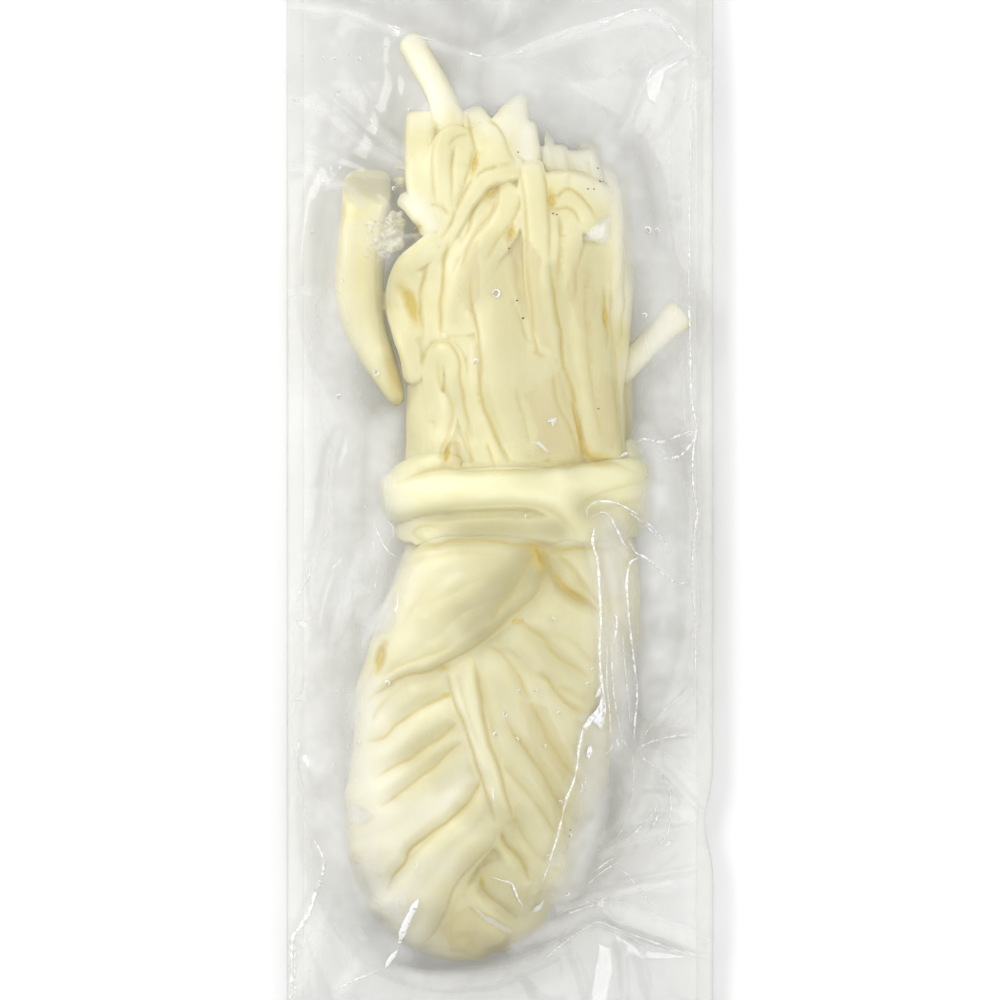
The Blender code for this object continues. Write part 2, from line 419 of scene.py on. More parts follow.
def make_braid():
    """The plaited lower body."""
    braid = body_tube(-120.6, 16, 1.8, 5)
    over_body(braid, [(-10.1, -43.5), (-4.2, -39.8), (2.1, -35.5)], 3.4, 3.0, [0.0, 0.3, 0.3])
    # strands that turn down and left from under the centre cord
    bundle(braid, [(-10.1, -40.3), (-19.9, -43.5), (-27.8, -47.2), (-37.6, -53.5)],
        [(-1.6, -71.0), (-9.0, -81.1), (-17.5, -88.5), (-30.2, -98.6)], [0, 0.24, 0.43, 0.60, 0.8, 1.0],
        lift=(0.2, 1.0, 0.2), tail=(-160, -8))
    # strands that turn down and right from under it
    bundle(braid, [(0.8, -75.8), (6.4, -79.5), (12.7, -86.4), (17.5, -94.3)],
        [(1.3, -84.3), (5.3, -89.0), (9.5, -94.9), (12.7, -101.8)], [0, 0.5, 1.0], lift=(0.0, 0.5, 0.2),
        tail=(160, -9))
    bundle(braid, [(-4.2, -53.0), (1.3, -63.1), (10.1, -74.7), (18.6, -85.3)],
        [(-2.7, -64.9), (1.1, -72.9), (8.0, -81.1), (16.4, -91.7)], [0, 1.0], lift=(0.2, 1.0, 0.3),
        tail=(160, -12))
    bundle(braid, [(-3.7, -37.1), (2.7, -42.9), (11.9, -56.2), (24.4, -74.2)],
        [(-5.3, -44.5), (0.0, -57.2), (8.5, -70.0), (19.1, -82.7)], [0, 0.52, 1.0], lift=(0.4, 1.5, 0.4),
        tail=(160, -13))
    bundle(braid, [(4.0, -27.6), (13.8, -25.2), (23.3, -27.6), (32.9, -39.8)],
        [(-4.2, -35.5), (5.3, -40.3), (14.8, -53.0), (26.5, -71.0)], [0, 0.34, 0.62, 1.0],
        lift=(0.6, 2.2, 1.6, 0.6), tail=(160, -15))
    # strands from the strap down the right side
    bundle(braid, [(35.0, -8.0), (36.8, -21.2), (36.8, -37.1), (35.0, -53.0)],
        [(10.9, -9.5), (17.5, -19.6), (26.5, -29.2), (31.8, -45.6)], [0, 0.34, 0.64, 1.0],
        lift=(1.4, 2.6, 2.2, 0.8), tail=(160, -14))
    over_body(braid, [(11.7, -15.9), (15.9, -22.3), (22.8, -28.1)], 3.2, 2.8, [0.3, 0.7, 0.6])
    # round tip
    bundle(braid, [(2.1, -82.7), (10.6, -92.2), (16.4, -102.3)], [(-3.2, -89.0), (3.2, -97.5), (8.0, -107.1)],
        [0, 0.5, 1.0], lift=(0.4, 1.2, 0.0))
    bundle(braid, [(-1.6, -93.3), (4.2, -101.8), (7.4, -109.2)],
        [(-5.8, -98.6), (-1.1, -106.5), (3.7, -114.0)], [0, 1.0], lift=(0.2, 0.9, -0.6))
    bundle(braid, [(-8.0, -101.8), (-1.6, -109.7), (2.1, -119.8)],
        [(-13.8, -103.9), (-16.4, -112.6), (-20.1, -121.4)], [0, 0.36, 1.0], lift=(0.2, 0.6, 0.2))
    over_body(braid, [(-20.1, -119.2), (-14.8, -121.6), (-8.0, -121.9), (-1.1, -120.3)], 3.7, 3.4,
        [0.0, 0.3, 0.3, 0.0])
    # thin twin cord down the middle
    bundle(braid, [(-13.5, -37.1), (-12.5, -53.0), (-8.5, -65.7), (-4.8, -76.9), (0.0, -85.9)],
        [(-6.9, -35.0), (-4.5, -53.0), (-1.3, -65.7), (1.9, -76.3), (4.2, -84.3)], [0, 0.5, 1.0],
        lift=(1.0, 2.4, 2.4, 1.9), thick=3.2)
    # broad lobe at the lower left, over the cord's end
    bundle(braid, [(-4.2, -73.1), (-9.8, -81.1), (-18.0, -88.0), (-24.9, -94.9), (-31.8, -107.3)],
        [(2.1, -82.7), (-2.1, -90.6), (-8.0, -97.5), (-13.2, -107.3), (-20.1, -119.2)], [0, 0.46, 1.0],
        lift=(2.0, 3.0, 2.0, 0.4), tail=(-160, 2), thick=4.0)
    # broad lobe at the upper left, over everything else
    bundle(braid, [(15.9, -8.0), (5.3, -10.1), (-8.0, -11.1), (-19.9, -12.7), (-27.8, -23.9), (-34.2, -38.4),
        (-37.6, -50.9)], [(20.1, -17.5), (14.0, -23.3), (5.3, -30.7), (-5.3, -37.4), (-15.4, -43.5),
        (-26.0, -46.9), (-35.0, -54.1)], [0, 0.36, 0.72, 1.0], lift=(-2.0, 2.0, 3.4, 3.4, 2.8, 2.2, 1.2),
        tail=(-160, -14), thick=4.2)
    return braid


def make_strap():
    """The strand wound twice round the neck."""
    strap = Piece()
    # lower turn, showing below the upper one on the left
    over_body(strap, [("turn", -170, -9), ("turn", -120, -9), (-27.0, -9.0), (-15.9, -8.0), (-5.3, -7.7),
        (5.3, -8.0), (15.9, -8.2), (26.5, -7.4), (37.1, -5.3), ("turn", 120, -4), ("turn", 178, -5)],
        [2.2, 2.4, 2.8, 4.2, 4.8, 4.8, 4.6, 4.4, 4.2, 4.2, 4.2], 4.0,
        [0, 0.4, 0.8, 1.2, 1.4, 1.4, 1.2, 1.0, 1.0, 0.8, 0], power=2.6)
    # upper turn, spreading over the lower one on the right
    over_body(strap, [("turn", -178, 2), ("turn", -120, 1.5), (-29.2, 0.3), (-18.6, 2.1), (-5.3, 2.9),
        (8.0, 3.2), (14.8, 1.6), (20.7, -1.6), (29.7, -1.1), (37.6, 0.0), ("turn", 120, 1), ("turn", 178, 1)],
        [6.0, 6.6, 7.2, 5.8, 5.9, 6.0, 7.4, 10.6, 10.4, 9.4, 7.0, 7.0], 4.8,
        [0, 1.5, 2.8, 3.4, 3.6, 3.5, 3.4, 3.2, 3.0, 2.6, 1, 0], power=2.8)
    over_body(strap, [(14.8, 4.2), (23.3, 6.4), (32.3, 7.4), (38.4, 7.4), ("turn", 100, 6)],
        [3.0, 3.2, 3.4, 3.4, 3.0], 3.0, [2.8, 3.2, 3.4, 3.0, 1.0])
    over_body(strap, [(22.5, -5.6), (30.5, -4.5), (38.4, -3.2), ("turn", 100, -5)], [3.6, 4.6, 4.6, 3.8], 3.2,
        [2.6, 3.4, 3.0, 1.0])
    over_body(strap, [(-28.1, 5.8), (-21.2, 8.5), (-14.6, 9.5), (-9.5, 9.3)], [2.6, 3.2, 2.8, 2.0], 2.8,
        [1.6, 2.6, 2.4, 1.2])
    over_body(strap, [(32.3, 15.4), (36.0, 11.7), (38.2, 5.3), ("turn", 110, 2)], [2.8, 3.6, 3.6, 2.8], 3.4,
        [1.0, 1.8, 1.6, 0.5])
    over_body(strap, [(-23.3, -11.1), (-18.6, -9.3), (-12.7, -10.1)], [1.6, 2.6, 1.6], 1.8, [0.8, 1.4, 0.8])
    return strap


# ---------------------------------------------------------------- loose fringe
def make_fringe():
    """The bundle of loose strands above the strap: its filled middle, and the strands themselves."""
    inner = body_tube(4, 92, 3.0, 9)
    for row, (crest, count, reach) in enumerate([(7.2, 8, 70), (13.0, 9, 84)]):
        for k in range(count):
            share = (k + 0.5 * row) / (count - 0.5)
            x = -20.0 + 51 * share
            wave = 2.0 * math.sin(2.3 * k + row)
            top = 12 + reach * (0.88 + 0.12 * math.sin(1.7 * k + 2 * row))
            free(inner, [(x, 4, crest), (x + wave * 0.5, 26, crest), (x - wave, 50, crest - 0.4),
                (x + wave * 0.6, top, crest - 1.5)], [3.9, 3.9, 3.8, 3.4], [3.3, 3.3, 3.2, 2.6])
    fringe = Piece()
    # long strands down to the strap, from the left
    over_body(fringe, [(-21.7, 43.7), (-22.3, 31.8), (-22.5, 19.9), (-22.0, 6.9)], [3.4, 4.2, 4.5, 4.5], 3.6,
        [-0.8, 0.2, 0.6, 0.8])
    over_body(fringe, [(-16.7, 30.5), (-17.5, 18.6), (-18.0, 6.9)], 3.4, 3.0, [-0.6, 0.2, 0.8])
    over_body(fringe, [(-14.3, 29.2), (-13.8, 23.3), (-15.1, 15.9), (-17.0, 8.0)], [2.4, 3.2, 3.2, 2.7], 2.6,
        [0.8, 1.2, 1.0, 0.8])
    over_body(fringe, [(-18.0, 19.9), (-17.8, 29.2), (-17.2, 36.6), (-14.8, 39.5), (-12.2, 36.6),
        (-11.4, 30.5), (-12.7, 23.9)], [2.4, 3.2, 3.2, 3.2, 3.2, 3.2, 2.7], 3.0,
        [0.4, 1.2, 1.6, 2.0, 1.8, 1.6, 1.2])
    over_body(fringe, [(-11.1, 21.7), (-9.5, 14.6), (-9.0, 6.9)], 2.1, 2.4, [-0.4, 0.0, 0.4])
    over_body(fringe, [(-8.0, 18.6), (-6.4, 12.7), (-5.3, 6.9)], 2.1, 2.4, [0.0, 0.4, 0.8])
    over_body(fringe, [(-9.5, 34.5), (-8.7, 26.0), (-6.4, 17.2), (-2.1, 6.9)], [2.4, 3.2, 3.7, 3.7], 3.0,
        [0.4, 1.2, 1.4, 1.4])
    over_body(fringe, [(-1.1, 21.2), (1.6, 13.2), (4.0, 6.4)], 2.9, 2.6, [-0.4, 0.4, 0.8])
    # middle
    over_body(fringe, [(6.4, 68.9), (7.4, 53.0), (9.0, 41.1), (11.7, 27.8), (14.8, 17.2), (17.5, 6.4)],
        [5.0, 5.8, 5.8, 5.6, 5.3, 4.8], 3.8, [-0.4, 0.6, 1.2, 1.4, 1.4, 1.6], lump=0.3)
    over_body(fringe, [(-0.5, 68.9), (-0.5, 53.0), (0.5, 41.1), (2.1, 29.2), (5.3, 18.6), (9.5, 6.4)],
        [5.3, 6.6, 6.9, 6.9, 6.9, 5.8], 4.2, [0.4, 1.6, 2.0, 2.2, 2.2, 2.2], lump=0.3)
    over_body(fringe, [(-6.9, 46.4), (-6.9, 35.8), (-5.8, 26.5), (-2.7, 15.9), (0.8, 6.9)], 2.9, 2.8,
        [-0.2, 0.6, 0.8, 1.0, 1.2])
    over_body(fringe, [(-12.7, 72.1), (-16.7, 63.1), (-19.3, 53.0), (-20.7, 42.4), (-21.5, 31.8)],
        [2.9, 3.7, 3.7, 3.7, 3.2], 3.0, [1.0, 1.0, 1.0, 0.6, 0.2])
    over_body(fringe, [(-9.0, 70.2), (-13.5, 60.4), (-15.6, 50.4), (-15.9, 39.2)], [2.9, 3.4, 3.4, 2.7], 2.8,
        [0.8, 0.8, 0.8, 0.2])
    over_body(fringe, [(0.8, 84.0), (3.2, 78.4), (0.5, 71.0), (-4.2, 64.7), (-8.2, 58.3), (-10.3, 51.7),
        (-10.3, 44.0)], [2.4, 3.7, 4.5, 4.8, 5.0, 5.3, 5.0], 3.3, [1.0, 2.0, 2.4, 2.4, 2.2, 1.8, 1.1],
        ends=("round", "cut"))
    # long arched strand that ends in the side loop
    over_body(fringe, [(6.9, 88.0), (0.5, 87.5), (-5.0, 85.1), (-9.5, 80.6), (-13.0, 74.7), (-15.9, 68.9),
        (-18.6, 63.1), (-20.1, 55.7)], [3.2, 3.7, 4.0, 4.2, 4.2, 4.0, 3.7, 2.7], 3.1,
        [1.8, 2.4, 2.6, 2.6, 2.4, 2.2, 1.8, 0.6])
    free(fringe, [(-14.8, 69.4, 22.8), (-20.1, 65.7, 22.4), (-24.6, 62.0, 20.8), (-27.3, 56.7, 19.0),
        (-27.6, 50.9, 18.4), (-25.7, 45.1, 19.0), (-23.6, 39.2, 20.4), (-22.3, 30.5, 21.4)],
        [3.4, 3.4, 3.2, 2.9, 2.9, 3.2, 3.4, 3.2], 3.0, ends=("round", "round"))
    # strands that close the back of the gaps
    over_body(fringe, [(0.0, 83.2), (-3.2, 78.2), (-6.4, 71.0), (-8.5, 63.1)], [2.7, 3.7, 4.0, 3.2], 3.0,
        [0.4, 0.7, 0.8, 0.6])
    over_body(fringe, [(12.7, 84.8), (14.6, 78.2), (15.9, 70.2)], [3.2, 3.7, 3.4], 3.0, [1.2, 1.4, 1.2])
    over_body(fringe, [(-15.9, 6.9), (-5.3, 6.9), (8.0, 6.6), (19.9, 6.6), (31.3, 6.9)], 3.7, 3.2,
        [0.9, 1.3, 1.7, 1.7, 1.3])
    free(fringe, [(-21.2, 63.1, 21.0), (-23.6, 56.7, 19.6), (-23.3, 50.9, 19.2), (-22.0, 41.1, 20.2)],
        [3.4, 3.7, 3.7, 2.9], 3.2, ends=("round", "round"))
    over_body(fringe, [(-7.4, 82.2), (-8.5, 71.5), (-10.1, 61.0), (-10.6, 47.7), (-9.8, 34.5)],
        [3.2, 4.2, 4.8, 4.8, 3.7], 3.2, [0.0, 0.4, 0.2, 0.2, 0.2])
    over_body(fringe, [(-12.7, 45.1), (-11.7, 34.5), (-12.7, 21.2), (-13.8, 6.9)], [3.7, 4.2, 4.2, 4.0], 3.0,
        [0.0, 0.0, -0.2, 0.0])
    over_body(fringe, [(5.3, 84.8), (4.5, 75.5), (4.0, 66.2), (4.5, 55.7)], [2.7, 3.4, 3.4, 3.2], 3.0,
        [0.2, 0.4, 0.2, 0.0])
    # flat ribbon in front
    over_body(fringe, [(8.2, 89.3), (8.5, 79.5), (9.8, 68.9), (10.3, 58.3), (11.9, 47.7), (13.8, 36.0)],
        [3.2, 4.0, 4.0, 4.0, 4.0, 2.9], 2.9, [1.6, 2.6, 2.8, 2.6, 2.2, 1.0], ends=("cut", "round"), power=3.4)
    # upper left tips
    free(fringe, [(-24.6, 124.3, 9.0), (-21.7, 118.7, 10.0), (-17.0, 110.2, 13.0), (-13.8, 102.0, 16.0),
        (-11.7, 94.1, 15.5)], [4.2, 3.7, 3.6, 4.0, 3.7], 2.7, ends=("round", "round"))
    free(fringe, [(-20.9, 102.6, 13.5), (-20.9, 94.1, 17.2), (-20.7, 85.3, 19.8), (-19.1, 76.9, 21.2),
        (-17.0, 68.9, 21.5)], [4.0, 4.5, 4.5, 4.2, 3.4], 2.9, ends=("cut", "round"), power=3.4)
    free(fringe, [(-26.5, 80.0, 17.0), (-24.1, 78.7, 19.4), (-20.7, 75.8, 21.6), (-16.7, 70.8, 22.2)],
        [2.4, 2.4, 3.2, 2.4], 2.2, ends=("round", "round"))
    free(fringe, [(-14.0, 71.0, 22.2), (-15.1, 80.8, 21.6), (-15.9, 89.6, 20.2), (-14.3, 94.9, 18.8),
        (-11.4, 96.5, 18.2), (-9.0, 93.8, 18.8), (-9.8, 87.5, 20.8), (-11.1, 79.5, 22.2),
        (-12.7, 71.5, 22.8)], [2.9, 3.4, 3.4, 3.2, 2.9, 3.2, 3.2, 3.2, 2.9], 2.6, ends=("round", "round"))
    over_body(fringe, [(-18.3, 78.4), (-15.6, 73.7), (-13.8, 67.3)], [1.3, 3.2, 2.4], 2.2, [2.0, 2.8, 2.0],
        ends=("point", "round"))
    free(fringe, [(-7.4, 103.4, 14.2), (-5.0, 97.0, 17.6), (-2.1, 91.7, 20.2), (1.1, 85.3, 21.6)],
        [3.2, 4.8, 5.6, 5.3], 2.8, ends=("cut", "round"), power=3.4)
    free(fringe, [(6.1, 107.3, 12.4), (3.7, 101.8, 15.4), (1.9, 95.4, 18.0), (3.2, 87.5, 19.6)],
        [1.6, 4.5, 6.4, 6.1], 2.6, ends=("cut", "round"), power=3.4)
    free(fringe, [(7.4, 100.2, 15.6), (7.2, 93.3, 18.0), (7.2, 86.4, 20.0)], [2.4, 3.4, 3.7], 2.4,
        ends=("cut", "round"))
    free(fringe, [(12.5, 99.1, 13.0), (13.2, 94.1, 15.5), (14.0, 86.9, 18.4)], [0.8, 1.3, 1.9], 1.6,
        ends=("point", "round"))
    # right cluster
    free(fringe, [(13.5, 93.3, 15.6), (14.6, 85.3, 18.8), (15.4, 77.4, 20.6), (16.4, 68.9, 21.0)],
        [4.5, 5.6, 5.6, 4.8], 3.0, ends=("cut", "round"), power=3.4)
    free(fringe, [(20.7, 92.0, 15.0), (21.7, 84.8, 18.4), (22.8, 77.4, 20.2), (23.9, 68.9, 21.2)],
        [5.0, 5.8, 5.8, 5.3], 3.0, ends=("cut", "round"), power=3.4)
    free(fringe, [(26.5, 88.0, 14.2), (27.6, 80.8, 17.4), (28.1, 72.9, 19.6), (27.8, 64.1, 21.0),
        (27.0, 53.0, 21.6)], [4.0, 4.8, 5.0, 4.8, 4.2], 3.1, ends=("cut", "round"), power=3.4)
    over_body(fringe, [(10.6, 83.2), (17.2, 83.7), (24.4, 81.6), (29.2, 75.8)], [3.2, 3.7, 3.7, 2.9], 2.2,
        [1.4, 2.0, 2.0, 1.2])
    over_body(fringe, [(14.8, 80.3), (18.8, 79.2), (22.5, 75.3), (24.9, 70.0)], [1.3, 3.2, 3.7, 2.7], 2.4,
        [2.2, 2.8, 2.6, 1.6], ends=("point", "round"))
    over_body(fringe, [(16.7, 77.1), (16.4, 68.9), (16.4, 60.4), (15.9, 51.9), (16.7, 42.4), (18.3, 31.8),
        (19.6, 21.2), (20.9, 8.5)], [4.5, 5.6, 5.3, 4.0, 3.2, 3.2, 3.2, 2.9], 3.0,
        [1.4, 2.2, 2.0, 1.6, 1.0, 0.8, 0.6, 0.4], ends=("cut", "round"), power=3.2)
    over_body(fringe, [(15.9, 39.8), (17.0, 26.5), (18.3, 18.6), (19.1, 6.9)], 3.4, 2.8, [0.0, 0.6, 1.0, 1.4])
    over_body(fringe, [(24.4, 70.0), (23.3, 61.0), (23.1, 51.7), (23.3, 41.1), (24.6, 29.2), (26.5, 18.6),
        (28.1, 6.9)], [4.8, 5.6, 5.8, 5.8, 5.6, 5.6, 5.3], 4.0, [0.4, 1.2, 1.8, 2.2, 2.4, 2.4, 2.2], lump=0.3)
    over_body(fringe, [(29.7, 83.7), (30.7, 72.9), (31.0, 62.3), (30.5, 51.7), (30.5, 39.8), (30.5, 26.5),
        (30.7, 15.9), (33.4, 5.8)], [3.4, 4.0, 4.0, 3.7, 3.4, 3.4, 3.4, 3.4], 3.0,
        [0.6, 0.8, 0.8, 0.8, 0.8, 0.8, 1.0, 1.2], ends=("cut", "round"))
    over_body(fringe, [(33.7, 84.8), (34.5, 73.7), (34.5, 62.3), (33.7, 51.7), (32.1, 41.1), (30.7, 30.5),
        (30.2, 23.9)], [3.2, 3.4, 3.4, 3.4, 3.4, 3.2, 2.4], 2.8, [0.4, 0.4, 0.2, 0.2, 0.3, 0.4, 0.2],
        ends=("cut", "round"))
    # strands that stick out sideways
    free(fringe, [(-35.2, 83.7, 14.0), (-35.8, 75.8, 16.0), (-36.8, 66.2, 16.8), (-37.4, 55.7, 17.2),
        (-36.0, 46.4, 17.2), (-32.9, 39.0, 17.0), (-29.7, 32.3, 17.5), (-26.8, 25.2, 18.6)],
        [6.9, 6.5, 6.5, 6.5, 5.7, 4.8, 3.6, 1.6], [4.8, 4.9, 4.8, 4.6, 4.4, 4.0, 3.4, 2.6],
        ends=("cut", "round"), slant=7.0)
    free(fringe, [(48.5, 50.1, 11.0), (43.5, 45.6, 12.6), (38.7, 40.8, 14.4), (34.5, 36.6, 16.0),
        (30.2, 31.3, 17.0)], [4.5, 3.7, 3.4, 3.7, 3.2], 2.6, ends=("cut", "round"))
    return inner, fringe


PRESSED_LENGTH = 128.0  # the pressing sheet's half length
PRESS_PULL, PRESS_PASSES = 0.015, 250
BRAID_TOP = -4.0  # the braided end begins here
SPRING = 0.4  # share by which what stands above the sheet still does so
FOLD_TOP = 7  # height above which the cheese is creased
WANDER = 0.35  # how far a crease strays from its line


def press(pieces):
    """The taut film flattens the crests, most of all on the braided end, and the soft strands close up."""
    xs = np.arange(-HALF_WIDTH, HALF_WIDTH + 0.1)
    ys = np.arange(-PRESSED_LENGTH, PRESSED_LENGTH + 0.1)
    x, y = np.meshgrid(xs, ys)
    top = np.nan_to_num(probe(cheese_tree(pieces), x, y, ABOVE), nan=0.0)
    sheet = relax(widest(top), top, PRESS_PULL, PRESS_PASSES)
    for _ in range(5):
        sheet[1:-1, 1:-1] = sheet[1:-1, 1:-1] / 2 + sides_of(sheet) / 8
    for piece in pieces:
        mesh = piece.data
        points = mesh_points(mesh)
        column = np.clip(points[:, 0] - xs[0], 0, len(xs) - 1.001)
        row = np.clip(points[:, 1] - ys[0], 0, len(ys) - 1.001)
        level = sample(sheet, row, column)
        depth = level - points[:, 2]
        braided = np.clip((BRAID_TOP - points[:, 1]) / 6, 0, 1)
        reach = 0.6 + 1.5 * braided
        flatten = 0.8 - 0.12 * braided
        fade = np.clip(1.3 - np.abs(depth) / 9, 0, 1)
        pressed = np.where(depth < 0, depth * SPRING, depth - flatten * np.minimum(depth, reach) * fade)
        points[:, 2] = level - pressed
        mesh.vertices.foreach_set("co", (points * MM).ravel())


def mesh_points(mesh):
    """The mesh's points in millimetres."""
    points = np.empty(len(mesh.vertices) * 3)
    mesh.vertices.foreach_get("co", points)
    return points.reshape(-1, 3) / MM


def mark(mesh, name, values):
    """Stores one number for each point of the mesh."""
    if name not in mesh.attributes:
        mesh.attributes.new(name, "FLOAT", "POINT")
    mesh.attributes[name].data.foreach_set("value", np.asarray(values, np.float32))


def groove_depth(mesh, rounds):
    """How far each point lies below its smoothed surroundings, in metres."""
    count = len(mesh.vertices)
    points = np.empty(count * 3)
    mesh.vertices.foreach_get("co", points)
    points = points.reshape(-1, 3)
    normals = np.empty(count * 3)
    mesh.vertex_normals.foreach_get("vector", normals)
    edges = np.empty(len(mesh.edges) * 2, np.int32)
    mesh.edges.foreach_get("vertices", edges)
    a, b = edges.reshape(-1, 2).T
    degree = np.bincount(a, minlength=count) + np.bincount(b, minlength=count)
    calm = points.copy()
    for _ in range(rounds):
        total = np.stack([np.bincount(a, calm[b, k], count) + np.bincount(b, calm[a, k], count)
                          for k in range(3)], axis=1)
        calm = 0.3 * calm + 0.7 * total / np.maximum(degree, 1)[:, None]
    return ((calm - points) * normals.reshape(-1, 3)).sum(axis=1)


def fused(part, name, voxel, smoothing, material, keep=1.0):
    """The strands grown together: one skin round them all, smoothed, with a share of its faces kept."""
    rough = part.build(name + "_rough", material)
    grow = rough.modifiers.new("one_skin", "REMESH")
    grow.mode = "VOXEL"
    grow.voxel_size = voxel * MM
    calm = rough.modifiers.new("soft", "SMOOTH")
    calm.factor = 0.5
    calm.iterations = smoothing
    if keep < 1:
        rough.modifiers.new("fewer_faces", "DECIMATE").ratio = keep
    made = bpy.data.meshes.new_from_object(rough.evaluated_get(bpy.context.evaluated_depsgraph_get()))
    bpy.data.objects.remove(rough)
    made.name = name
    made.shade_smooth()
    made.materials.clear()
    made.materials.append(material)
    return add_piece(name, made, "cheese")


